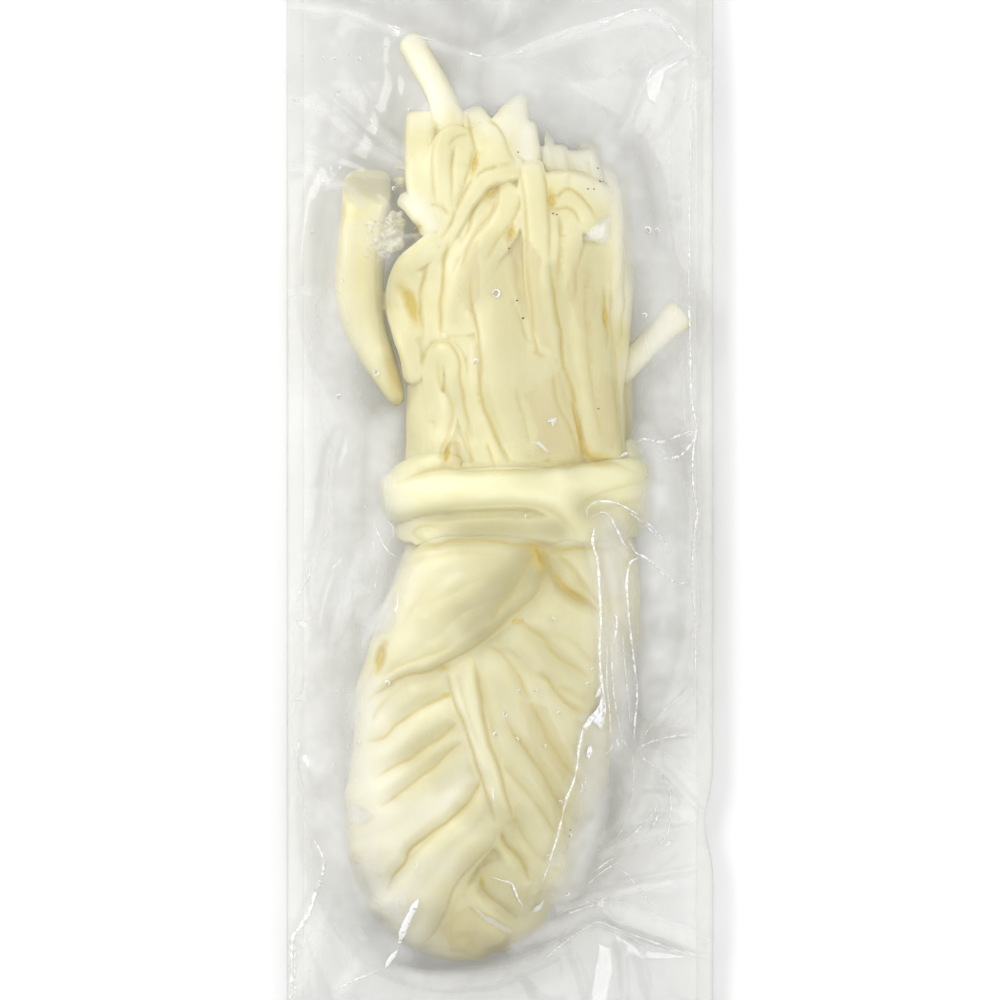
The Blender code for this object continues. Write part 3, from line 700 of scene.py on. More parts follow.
# creases pressed into the cheese, with painted shade beside them: depth, width on the raised side, width on
# the lower side, gold, line.
# The raised fold lies to the left of the line's direction, seen from above.
FOLDS = [
    # lower edge of the upper left lobe, and the soft strip along it
    (1.9, 2.4, 5.0, 0.5, [(-36.6, -53.8), (-30.5, -49.8), (-25.2, -46.6), (-18.6, -44.8), (-13.2, -41.9),
        (-7.4, -39.0), (-2.7, -35.5), (2.1, -31.0), (8.0, -26.0), (11.9, -19.9), (12.2, -13.8)]),
    (0.6, 2.0, 3.0, 0.3, [(-31.8, -47.4), (-27.6, -44.3), (-23.9, -42.7), (-15.9, -39.5), (-11.9, -37.1)]),
    (0.8, 2.0, 3.0, 0.4, [(-2.7, -33.1), (-0.3, -28.6), (2.7, -25.2), (7.2, -17.5), (10.3, -12.2)]),
    (0.35, 2.5, 2.5, 0.1, [(-21.2, -29.4), (-16.7, -26.5), (-10.3, -23.9), (-0.8, -18.0)]),
    (0.5, 2.0, 2.5, 0.15, [(-28.6, -19.9), (-26.0, -17.5), (-18.6, -14.8), (-8.0, -13.8), (1.3, -14.8)]),
    # left folds
    (1.1, 3.2, 3.0, 0.8, [(-35.5, -64.1), (-30.5, -62.8), (-26.5, -58.8), (-21.2, -55.1), (-14.6, -51.4),
        (-11.9, -50.4)]),
    (1.2, 3.6, 3.0, 0.5, [(-33.9, -73.7), (-28.6, -70.5), (-23.9, -68.1), (-18.6, -64.4), (-13.2, -60.7),
        (-10.6, -57.2)]),
    (1.0, 3.4, 3.0, 0.5, [(-32.3, -81.1), (-28.1, -78.2), (-23.9, -75.0), (-18.6, -71.5), (-14.0, -66.8),
        (-8.5, -62.8)]),
    (1.9, 2.6, 3.5, 1.0, [(-30.7, -106.0), (-28.6, -100.7), (-25.2, -95.4), (-23.3, -92.2), (-18.6, -88.0),
        (-13.2, -84.3), (-9.3, -80.3), (-5.8, -75.5), (-4.8, -70.5)]),
    (0.5, 1.2, 2.0, 0.5, [(-25.4, -95.4), (-21.7, -92.8), (-18.6, -89.6), (-16.4, -86.9)]),
    (0.5, 2.0, 2.0, 0.3, [(-33.9, -58.8), (-31.8, -55.1), (-27.0, -50.4), (-21.2, -46.6)]),
    # lower right edge of the lower left lobe
    (2.4, 3.6, 6.0, 0.15, [(-22.8, -120.3), (-18.0, -115.3), (-14.6, -108.7), (-11.9, -102.0), (-8.0, -96.7),
        (-2.7, -91.4), (0.0, -86.4)]),
    # centre cord
    (1.5, 1.0, 3.4, 0.5, [(-14.3, -42.4), (-12.7, -50.4), (-10.1, -57.2), (-7.7, -64.9), (-5.0, -72.9),
        (-2.7, -79.5), (-0.8, -85.9)]),
    (1.4, 1.0, 2.4, 0.9, [(4.2, -89.0), (3.2, -83.5), (1.3, -76.9), (-0.8, -69.4), (-2.7, -63.6),
        (-4.2, -56.2), (-5.3, -50.4), (-6.1, -45.6), (-7.4, -39.8)]),
    (0.4, 1.0, 1.0, 0.2, [(-11.9, -42.4), (-10.1, -50.4), (-8.0, -58.3), (-5.3, -66.2)]),
    # folds that fan out to the right
    (1.0, 2.0, 3.0, 0.9, [(1.6, -32.3), (4.8, -31.5), (7.2, -33.4), (10.6, -36.0), (14.8, -41.1),
        (19.9, -44.3), (24.6, -46.9)]),
    (0.35, 1.8, 1.8, 0.2, [(11.9, -34.5), (18.6, -37.1), (23.9, -41.6), (27.6, -43.5)]),
    (1.0, 2.0, 2.6, 0.6, [(-6.4, -37.9), (-2.7, -38.7), (1.6, -41.9), (4.0, -45.1), (5.6, -48.2),
        (8.0, -53.8)]),
    (1.3, 2.2, 2.6, 0.8, [(7.2, -52.5), (10.1, -57.8), (12.7, -63.1), (15.9, -68.1), (19.6, -72.9),
        (22.8, -76.3)]),
    (1.2, 2.0, 2.4, 0.8, [(1.1, -57.2), (4.0, -62.3), (7.4, -66.8), (10.6, -71.5), (13.8, -76.9),
        (16.4, -82.7), (18.0, -91.7)]),
    (0.9, 1.8, 2.2, 0.8, [(9.5, -45.3), (12.7, -47.7), (14.8, -50.4), (18.6, -54.3), (23.1, -57.0)]),
    (0.5, 1.6, 1.8, 0.2, [(14.8, -49.0), (18.6, -50.4), (24.4, -53.5)]),
    (1.0, 2.4, 2.4, 0.3, [(-0.5, -68.1), (2.7, -71.5), (5.8, -75.8), (9.5, -80.0), (12.7, -85.3),
        (15.9, -89.0)]),
    (1.0, 2.2, 2.4, 0.3, [(3.7, -79.5), (4.5, -85.3), (7.2, -90.6), (12.2, -96.5)]),
    (0.7, 2.2, 2.4, 0.3, [(20.1, -57.2), (24.4, -63.6), (27.6, -71.5)]),
    # round tip
    (1.9, 1.6, 3.4, 1.0, [(-0.5, -86.9), (1.1, -90.1), (4.0, -92.8), (6.1, -95.9), (8.2, -101.2)]),
    (1.5, 1.6, 2.6, 1.0, [(-5.8, -99.1), (-4.2, -102.8), (-1.3, -106.0), (1.1, -108.1), (4.8, -111.3)]),
    (0.5, 1.8, 1.8, 0.1, [(-9.8, -105.5), (-5.3, -110.0), (1.1, -113.7), (4.2, -116.1)]),
    (0.7, 1.6, 2.2, 0.4, [(-11.9, -106.8), (-13.0, -114.0), (-13.2, -119.8)]),
    (0.5, 1.2, 1.6, 0.3, [(-13.0, -119.8), (-11.7, -116.6), (-8.7, -115.5), (-7.4, -117.7), (-9.0, -119.8)]),
    (0.6, 2.4, 2.4, 0.2, [(-5.8, -95.9), (-8.0, -102.0), (-10.6, -106.5)]),
    # gap under the strap on the right
    (2.0, 1.6, 2.4, 1.0, [(10.9, -12.2), (11.7, -14.8), (12.7, -17.8), (14.8, -21.2), (18.0, -24.4),
        (22.3, -26.8), (28.1, -31.0)]),
    (0.9, 1.6, 2.0, 0.4, [(14.8, -12.7), (18.6, -17.5), (23.3, -23.9), (27.6, -29.7)]),
    (0.6, 1.6, 1.6, 0.3, [(26.5, -11.9), (27.8, -21.2), (29.2, -29.7), (29.7, -37.1)]),
    # strap
    (0.7, 2.6, 3.4, 0.1, [(-26.0, -8.0), (-22.8, -5.0), (-18.6, -3.2), (-10.6, -1.9), (0.0, -1.3),
        (8.0, -1.3), (13.2, -2.7), (17.5, -6.4), (21.7, -11.1)]),
    (0.5, 1.2, 1.6, 0.4, [(-13.2, -10.9), (-15.9, -11.9), (-19.9, -10.9), (-22.8, -8.7), (-20.1, -6.6),
        (-15.9, -7.2)]),
    (1.5, 1.8, 2.2, 0.7, [(-27.0, -13.8), (-18.6, -12.2), (-13.2, -10.9), (-6.6, -10.6), (0.0, -11.4),
        (10.6, -12.5), (19.9, -13.0), (29.2, -12.5), (37.6, -9.0)]),
    (0.5, 2.6, 2.6, 0.2, [(39.8, 4.8), (33.1, 3.7), (26.5, 1.9), (20.7, -0.5)]),
    (0.4, 2.0, 2.0, 0.1, [(39.2, 0.0), (31.8, -1.3), (25.4, -3.2)]),
    (1.4, 1.6, 2.4, 0.5, [(37.1, 6.4), (30.5, 9.8), (23.9, 10.1), (15.9, 9.0), (8.0, 8.0), (-5.3, 7.7),
        (-15.9, 8.2), (-23.3, 6.4), (-28.6, 3.7)]),
]
# thin lines where the flat strands of the fringe meet: depth, gold, line
LINES = [
    (0.77, 1.0, [(13.0, 63.1), (14.0, 55.7), (15.4, 47.7), (17.0, 35.8), (19.1, 27.8), (20.7, 20.1),
        (22.0, 12.7), (24.9, 10.9), (30.7, 10.3)]),
    (0.66, 0.7, [(-7.4, 61.5), (-7.7, 52.5), (-6.1, 44.5), (-5.3, 36.6), (-5.3, 28.9), (-3.2, 21.7),
        (-0.3, 15.1), (3.4, 8.5)]),
    (0.55, 0.8, [(-13.8, 68.9), (-15.1, 61.0), (-15.6, 51.7), (-15.9, 42.1)]),
    (0.39, 0.4, [(-19.3, 63.1), (-20.4, 57.0), (-20.9, 50.4), (-20.1, 44.5)]),
    (0.55, 0.6, [(-18.6, 39.0), (-17.5, 41.1), (-14.8, 42.1), (-12.2, 40.8), (-10.9, 37.1), (-10.3, 29.7),
        (-8.2, 20.9), (-6.9, 13.2)]),
    (0.35, 0.5, [(-16.2, 37.6), (-16.4, 31.8), (-14.3, 27.6), (-12.5, 24.4), (-12.7, 20.1), (-15.1, 14.3),
        (-16.4, 9.0)]),
    (0.44, 0.5, [(-11.9, 15.9), (-11.1, 11.9), (-10.1, 7.4)]),
    (0.44, 0.5, [(-9.0, 18.0), (-8.0, 12.7), (-6.9, 7.4)]),
    (0.44, 0.6, [(-3.4, 15.1), (-2.1, 11.1), (-0.8, 7.4)]),
    (0.39, 0.2, [(4.5, 29.7), (5.3, 25.2), (7.2, 18.0), (8.0, 9.0)]),
    (0.5, 0.4, [(14.0, 35.5), (14.8, 27.3), (17.5, 20.9), (19.9, 15.9), (20.7, 9.5)]),
    (0.44, 0.4, [(6.9, 66.2), (7.7, 55.7), (8.7, 46.4), (9.8, 39.2), (12.7, 38.2)]),
    (0.33, 0.3, [(2.9, 54.1), (5.0, 48.2), (8.0, 41.1)]),
    (0.61, 0.9, [(27.3, 56.2), (28.1, 49.0), (28.6, 39.8)]),
    (0.39, 0.3, [(23.3, 63.1), (22.8, 53.0), (23.3, 39.8), (24.9, 26.5), (27.6, 14.3)]),
    (0.39, 0.3, [(29.7, 66.2), (29.4, 46.6), (30.5, 39.5), (30.7, 26.5), (31.8, 13.2)]),
    (0.39, 0.3, [(33.4, 71.5), (33.1, 56.7), (32.6, 48.0), (31.3, 39.5)]),
    (0.5, 0.5, [(15.9, 75.8), (16.2, 67.6), (14.8, 57.0)]),
    (0.39, 0.4, [(22.5, 67.3), (20.4, 61.0), (20.1, 53.0)]),
    (0.61, 0.4, [(5.0, 89.0), (-0.8, 88.5), (-5.3, 86.4), (-8.7, 82.7), (-10.9, 78.4), (-12.7, 73.4),
        (-15.9, 68.9)]),
    (0.61, 0.5, [(-10.3, 67.3), (-8.2, 72.6), (-6.6, 77.1), (-3.4, 81.1), (-0.5, 83.7)]),
    (0.55, 0.6, [(5.0, 81.1), (4.8, 77.6), (2.7, 72.6), (-0.8, 68.1), (-4.2, 63.1)]),
    (0.44, 0.5, [(-0.8, 80.6), (-2.1, 76.3), (-5.8, 71.5), (-9.0, 65.2), (-10.6, 57.0)]),
    (0.5, 0.5, [(5.3, 88.5), (6.4, 80.0), (6.9, 71.0), (7.4, 63.1)]),
    (0.5, 0.5, [(10.9, 88.8), (12.5, 81.4), (13.0, 72.9), (13.2, 63.1)]),
    (0.39, 0.1, [(5.3, 89.0), (8.2, 89.6), (11.1, 89.0)]),
    (0.5, 0.4, [(-16.4, 100.2), (-17.5, 93.8), (-17.8, 86.1), (-17.0, 77.9)]),
    (0.39, 0.5, [(-12.7, 93.8), (-13.0, 85.9), (-12.5, 76.9)]),
    (0.5, 0.6, [(-6.9, 95.1), (-8.0, 88.5), (-10.1, 82.2), (-11.9, 76.3)]),
    (0.5, 0.5, [(-8.7, 102.8), (-7.4, 95.9), (-5.8, 89.6)]),
    (0.5, 0.4, [(-3.2, 101.2), (-0.3, 99.1), (1.9, 94.1), (4.8, 88.5)]),
    (0.33, 0.4, [(-13.8, 93.8), (-11.7, 96.5), (-8.0, 97.0)]),
    (0.39, 0.3, [(-18.6, 78.4), (-15.6, 77.4), (-12.7, 75.3)]),
    (0.5, 0.8, [(13.8, 78.7), (16.2, 81.4), (19.1, 82.2), (23.6, 78.2), (26.0, 74.2)]),
    (0.44, 0.6, [(13.0, 76.6), (17.8, 77.4), (21.5, 73.1)]),
    (0.33, 0.3, [(11.7, 86.4), (18.6, 86.9), (26.5, 84.8), (29.4, 82.7)]),
    (0.28, 0.2, [(17.5, 92.8), (18.3, 87.5), (18.0, 82.7)]),
    (0.28, 0.2, [(22.8, 91.2), (23.9, 86.4), (25.4, 83.2)]),
]
# hollows between strands where golden whey has gathered: depth, half width, gold (over 1.2 also a brown
# painted shade of the deep gap), line
HOLLOWS = [
    (1.4, 1.5, 1.0, [(-30.7, -37.9), (-31.3, -40.3), (-32.1, -45.1)]),
    (2.0, 1.0, 1.3, [(-15.9, -44.3), (-14.3, -43.7)]),
    (1.2, 0.8, 1.1, [(-14.8, -51.4), (-13.2, -51.1)]),
    (0.9, 2.2, 1.45, [(9.0, -12.2), (10.1, -14.6), (10.6, -17.5)]),
    (1.5, 1.5, 1.25, [(14.8, -21.2), (18.0, -23.9), (22.3, -26.5)]),
    (1.4, 0.9, 1.1, [(3.2, -31.8), (5.8, -32.1)]),
    (1.6, 0.9, 1.2, [(-5.3, -99.6), (-4.5, -102.3)]),
    (0.6, 1.9, 1.1, [(-26.0, 56.4), (-24.4, 54.1), (-23.1, 50.9), (-21.7, 47.2)]),
    (0.9, 1.2, 1.0, [(-6.4, 91.7), (-6.9, 88.5), (-7.2, 86.4)]),
    (0.8, 1.6, 1.1, [(-1.1, 82.9), (-2.4, 81.4), (-3.4, 80.0)]),
    (1.2, 1.3, 1.0, [(3.4, 72.1), (2.7, 69.4)]),
    (1.0, 1.4, 1.0, [(-22.5, 72.6), (-21.7, 71.3)]),
    (0.8, 1.3, 1.1, [(13.2, 81.4), (14.0, 77.4)]),
    (0.4, 0.7, 1.15, [(19.1, 26.0), (20.7, 19.1), (21.7, 13.8)]),
    (1.0, 1.9, 1.3, [(21.5, 14.3), (23.3, 11.4), (28.1, 10.3)]),
    (0.1, 2.6, 0.8, [(-29.2, 39.8), (-27.6, 33.9), (-26.2, 27.0)]),
    (1.2, 0.9, 1.0, [(-13.8, 14.3), (-14.3, 10.1)]),
    (1.4, 0.9, 1.0, [(27.6, 51.4), (28.1, 45.1)]),
]


def crease(pieces):
    """Presses the folds and hollows into the top of the cheese and marks their gold and their painted shade
    for the materials.
    """
    marks = [(*fold, False) for fold in FOLDS]
    marks += [(depth, 0.9, 0.9, tint, line, False) for depth, tint, line in LINES]
    marks += [(depth, half, half, tint, line, True) for depth, half, tint, line in HOLLOWS]
    for piece in pieces:
        mesh = piece.data
        points = mesh_points(mesh)
        fall = np.zeros(len(points))
        gold_and_gap_shade = np.zeros(len(points))
        soft = np.zeros(len(points))
        for depth, raised, lower, tint, route, hollow in marks:
            line = smooth_curve(route, 8)
            margin = 1.2 * max(raised, lower) + 1
            low, high = line.min(axis=0) - margin, line.max(axis=0) + margin
            boxed = ((points[:, :2] > low) & (points[:, :2] < high)).all(axis=1)
            near = np.where(boxed & (points[:, 2] > FOLD_TOP))[0]
            if not len(near):
                continue
            wander = WANDER * noise(np.column_stack([points[near, :2], np.zeros(len(near))]), 4.0, 91)
            gap, side, part = line_distance(points[near, 0], points[near, 1], line)
            gap = np.abs(gap * np.where(side == 0, 1, side) + wander)
            width = np.where(side > 0, raised, lower)
            fade = np.clip(np.minimum(part, 1 - part) / 0.18, 0.7 if hollow else 0.0, 1) ** 0.7
            shape = np.clip(1 - gap / (width * 1.25), 0, 1)
            if hollow:
                drop = 0.55 * depth * fade * shape**1.3
            else:
                drop = depth * fade * (0.85 * shape**1.5 + 0.08 * np.clip(1 - gap / 0.9, 0, 1))
            fall[near] = np.maximum(fall[near], drop)
            stain = tint * fade * (0.6 * shape if hollow else 0.5 * np.clip(1 - gap / 0.65, 0, 1))
            # painted shade on the raised side of each fold, darker for the more golden ones
            fold_shade = (0.35 + 0.3 * tint) * fade * np.clip(1 - gap / (1.25 * width), 0, 1) ** 1.2
            gold_and_gap_shade[near] = np.maximum(gold_and_gap_shade[near], np.minimum(stain, 1))
            soft[near] = np.maximum(soft[near], fold_shade)
        points[:, 2] -= fall
        mesh.vertices.foreach_set("co", (points * MM).ravel())
        mark(mesh, "gold_and_gap_shade", gold_and_gap_shade)
        # the painted fold shade is kept in this mark
        mark(mesh, "soft", soft)


# angular patches where thin whey lies between the cheese and the film
WET = [
    [(0.8, 70.0), (7.4, 68.9), (10.9, 63.1), (10.1, 53.0), (13.8, 39.2), (10.6, 40.8), (6.4, 48.2),
        (3.2, 57.8)],
    [(5.8, 27.8), (11.7, 31.3), (15.9, 33.9), (20.1, 18.6), (22.0, 10.1), (14.8, 8.5), (8.0, 10.1),
        (10.1, 18.6)],
    [(18.6, 63.1), (24.4, 61.0), (26.5, 53.0), (23.9, 42.4), (19.9, 47.2), (17.5, 55.7)],
    [(26.5, 33.9), (31.0, 31.8), (32.3, 18.6), (29.7, 12.7), (25.4, 18.6)],
    [(-15.9, 12.7), (-13.2, 17.0), (-10.1, 15.9), (-9.0, 9.0), (-15.9, 8.0)],
    [(-9.0, 66.2), (-5.3, 68.9), (-5.8, 53.0), (-8.0, 48.2), (-11.1, 53.0)],
    [(5.3, -53.0), (11.9, -54.3), (19.1, -68.9), (15.9, -76.9), (10.6, -71.5)],
    [(-15.9, -112.6), (-8.0, -107.3), (0.0, -110.8), (4.2, -117.9), (-5.3, -121.9), (-13.2, -119.8)],
]


# broad zones of painted shade, where the cheese is painted darker under the lobes, below the strap and on
# sides turned from the light, in places also darker pressed cheese: strength, half width, line
CHEESE_SHADE = [
    (0.95, 14.0, [(-4.8, -30.2), (2.7, -23.3), (10.1, -16.4)]),
    (0.55, 4.5, [(-24.4, -68.1), (-18.6, -63.6), (-11.7, -58.8)]),
    (0.35, 4.5, [(-25.2, -76.9), (-18.6, -71.0), (-11.1, -64.9)]),
    (0.45, 13.0, [(8.0, -36.0), (19.9, -50.4), (23.9, -62.3)]),
    (0.45, 12.0, [(2.7, -53.0), (11.9, -71.5), (15.9, -85.3)]),
    (0.40, 7.0, [(32.1, -14.8), (32.3, -37.1), (29.7, -58.8)]),
    (0.60, 9.0, [(-2.7, -99.6), (5.8, -106.5)]),
    (0.40, 8.0, [(4.0, -79.5), (11.9, -92.8)]),
    (0.45, 6.0, [(14.8, 53.0), (17.5, 26.5), (19.6, 10.1)]),
    (0.50, 7.0, [(23.3, 63.1), (24.9, 42.4), (27.0, 15.9)]),
    (0.45, 8.0, [(-1.1, 64.7), (1.3, 45.1), (4.0, 26.5), (9.0, 10.6)]),
    (0.75, 7.0, [(22.5, -2.7), (29.7, -7.4), (37.1, -5.3)]),
    (0.85, 6.8, [(-13.2, -8.5), (0.0, -7.7), (14.8, -8.0)]),
    (0.75, 8.0, [(0.0, -19.1), (7.4, -16.4), (13.2, -19.6)]),
    (0.35, 9.0, [(-17.0, -28.1), (-8.5, -23.3)]),
    (0.55, 3.4, [(-32.1, 65.7), (-32.6, 53.0), (-30.2, 42.9)]),
    (0.75, 4.0, [(-28.6, 36.6), (-26.8, 27.0)]),
    (0.50, 4.0, [(-40.8, 84.8), (-29.7, 83.2)]),
    (0.60, 4.0, [(13.2, -15.9), (20.7, -23.3)]),
    (0.45, 5.0, [(-27.0, -53.5), (-19.9, -49.8), (-12.7, -46.6)]),
    (0.40, 5.0, [(-15.9, -73.7), (-10.1, -70.5), (-6.4, -76.9)]),
    (0.45, 5.0, [(-13.2, 29.2), (-10.1, 21.2), (-8.5, 11.1)]),
    (0.45, 8.0, [(10.6, 35.5), (15.9, 15.9)]),
    (0.30, 7.0, [(-20.1, 39.8), (-19.1, 26.5), (-20.1, 13.2)]),
    (0.55, 6.0, [(-7.4, -81.1), (1.6, -83.7), (8.0, -92.8)]),
    (0.40, 7.0, [(5.3, -95.4), (10.6, -106.0)]),
    (0.40, 8.0, [(-15.9, -110.2), (-10.1, -116.6), (-2.7, -119.2)]),
    (0.55, 2.6, [(14.0, 61.0), (16.4, 45.1), (19.6, 30.5), (21.7, 15.9)]),
    (0.45, 2.4, [(-5.3, 39.8), (-3.2, 26.5), (1.6, 13.2)]),
    (0.35, 2.4, [(-10.1, 63.1), (-11.7, 47.7)]),
]
# zones where the cheese is paler: the cut tips and outer strands, and painted light on the left of the body,
# which faces the key lamp: strength, half width, line
PALE_AND_LIT = [
    (0.75, 4.5, [(-24.9, 124.0), (-20.7, 117.1), (-17.0, 110.2)]),
    (0.9, 5.5, [(-23.3, 123.0), (-19.6, 115.0), (-15.9, 106.0)]),
    (0.7, 4.0, [(-9.3, 103.9), (-4.8, 102.8), (-3.2, 99.6)]),
    (0.9, 5.5, [(6.1, 108.1), (4.2, 102.8), (1.6, 99.6)]),
    (0.9, 4.6, [(7.2, 100.2), (7.4, 91.2)]),
    (0.5, 5.0, [(-25.4, 101.8), (-16.4, 101.8)]),
    (0.7, 3.6, [(-26.8, 80.6), (-22.3, 77.9), (-18.6, 73.1)]),
    (0.95, 8.0, [(13.8, 93.8), (21.2, 90.6), (28.6, 85.3)]),
    (0.7, 5.0, [(32.3, 83.7), (33.9, 68.9), (33.9, 50.4)]),
    (0.9, 4.5, [(48.8, 50.4), (42.4, 43.5), (36.0, 35.5)]),
    (0.5, 7.0, [(-39.8, 85.9), (-30.2, 83.7)]),
    (0.85, 12.0, [(-33.9, -53.0), (-32.9, -68.9), (-30.7, -87.5), (-27.6, -103.4), (-22.8, -116.6)]),
    (0.5, 6.0, [(-27.6, 3.7), (-28.1, -4.0), (-27.0, -15.9), (-29.7, -28.1)]),
    (0.7, 6.0, [(-23.9, -84.8), (-15.9, -79.5), (-10.1, -74.2)]),
    (0.45, 6.0, [(-24.4, -93.3), (-14.8, -95.9)]),
    (0.4, 4.0, [(-11.9, -47.7), (-8.0, -63.6), (-3.2, -79.5)]),
    (0.4, 5.0, [(-32.9, -37.1), (-27.8, -26.5), (-24.4, -18.6)]),
]


def inside(x, y, polygon):
    """Whether each point lies in the polygon."""
    found = np.zeros(x.shape, bool)
    for (ax, ay), (bx, by) in zip(polygon, polygon[1:] + polygon[:1]):
        crosses = (ay > y) != (by > y)
        found ^= crosses & (x < (bx - ax) * (y - ay) / (by - ay + 1e-12) + ax)
    return found


WET_TOP = 9  # height above which the patches show
FULL_GROOVE = 0.4 * MM  # a groove this deep is marked in full


def tone(pieces):
    """Marks the creases' painted shade, the wet patches, the zones of painted shade and the paler, partly lit
    zones, which the materials colour.
    """
    for piece in pieces:
        mesh = piece.data
        points = mesh_points(mesh)
        depth = groove_depth(mesh, 22 if piece.name == "fringe" else 9)
        # painted shade: the deeper a point lies in a groove, the darker and yellower the cheese is painted
        # there
        mark(mesh, "groove_shade", np.clip(depth / FULL_GROOVE, -1, 1) * np.clip((points[:, 2] - 6) / 6, 0, 1))
        sway = sway_of(points, 5.0, (61, 62)) * 0.8
        wet = np.zeros(len(points))
        for polygon in WET:
            wet = np.maximum(wet, inside(points[:, 0] + sway[:, 0], points[:, 1] + sway[:, 1], polygon))
        mark(mesh, "wet", wet * (points[:, 2] > WET_TOP))
        # painted shade zones, only above the fold height
        mark(mesh, "painted_shade", soft_zones(points[:, 0], points[:, 1], CHEESE_SHADE, 0.3) * (points[:, 2] > FOLD_TOP))
        # paler tips, and painted light on the left of the body
        mark(mesh, "pale", soft_zones(points[:, 0], points[:, 1], PALE_AND_LIT, 0.3))


# ---------------------------------------------------------------- film
HALF_WIDTH = 57.0
HALF_LENGTH = 150.0
COLUMNS, ROWS = 172, 450  # cells of the film's grid
SEAM_HEIGHT = 6.0  # height of the sealed rim
SEAM_DROOP = 2.5  # how much lower it is at the two ends
DROOP_START = 112.0
PULL = 0.16  # how hard the film is sucked down
COARSE = 4  # cells of the film to one cell of the grid on which it is solved first
COARSE_PASSES, FINE_PASSES = 500, 70
FILM_GAP = 0.25  # from the cheese to the film
ABOVE, BELOW = 60, -20  # heights clear of the cheese


def seam_at(y):
    """Height of the sealed rim, which droops a little towards both ends."""
    past = np.clip(np.abs(y) - DROOP_START, 0, None) / (HALF_LENGTH - DROOP_START)
    return SEAM_HEIGHT - SEAM_DROOP * past


def cheese_tree(pieces):
    """One search tree over all the cheese."""
    points, faces, start = [], [], 0
    for piece in pieces:
        mesh = piece.data
        points.extend(mesh_points(mesh).tolist())
        faces.extend([[v + start for v in face.vertices] for face in mesh.polygons])
        start += len(mesh.vertices)
    return BVHTree.FromPolygons(points, faces)


def probe(tree, x, y, start):
    """Height at which a ray, down from above or up from below, meets the cheese: nan where it meets none."""
    aim = Vector((0, 0, -1 if start > 0 else 1))
    places = zip(x.ravel().tolist(), y.ravel().tolist())
    hits = [tree.ray_cast(Vector((*place, start)), aim)[0] for place in places]
    return np.array([np.nan if hit is None else hit.z for hit in hits]).reshape(x.shape)


def widest(field):
    """Each value becomes the largest among itself and its eight neighbours."""
    padded = np.pad(field, 1, mode="edge")
    rows, columns = field.shape
    return np.max([padded[i:i + rows, j:j + columns] for i in range(3) for j in range(3)], axis=0)


def relax(film, wall, pull, passes):
    """A stretched sheet that suction pulls down and the wall holds up."""
    for _ in range(passes):
        film[1:-1, 1:-1] = np.maximum(wall[1:-1, 1:-1], sides_of(film) / 4 - pull)
    return film


def drape(wall, step):
    """The stretched film over the wall, solved on a coarse grid first."""
    coarse = widest(widest(wall))[::COARSE, ::COARSE]
    film = relax(coarse.copy(), coarse, PULL * (COARSE * step) ** 2 / 4, COARSE_PASSES)
    rows = np.linspace(0, film.shape[0] - 1, wall.shape[0])
    columns = np.linspace(0, film.shape[1] - 1, wall.shape[1])
    grid = sample(film, rows[:, None], columns[None, :])
    return relax(np.maximum(grid, wall), wall, PULL * step**2 / 4, FINE_PASSES)


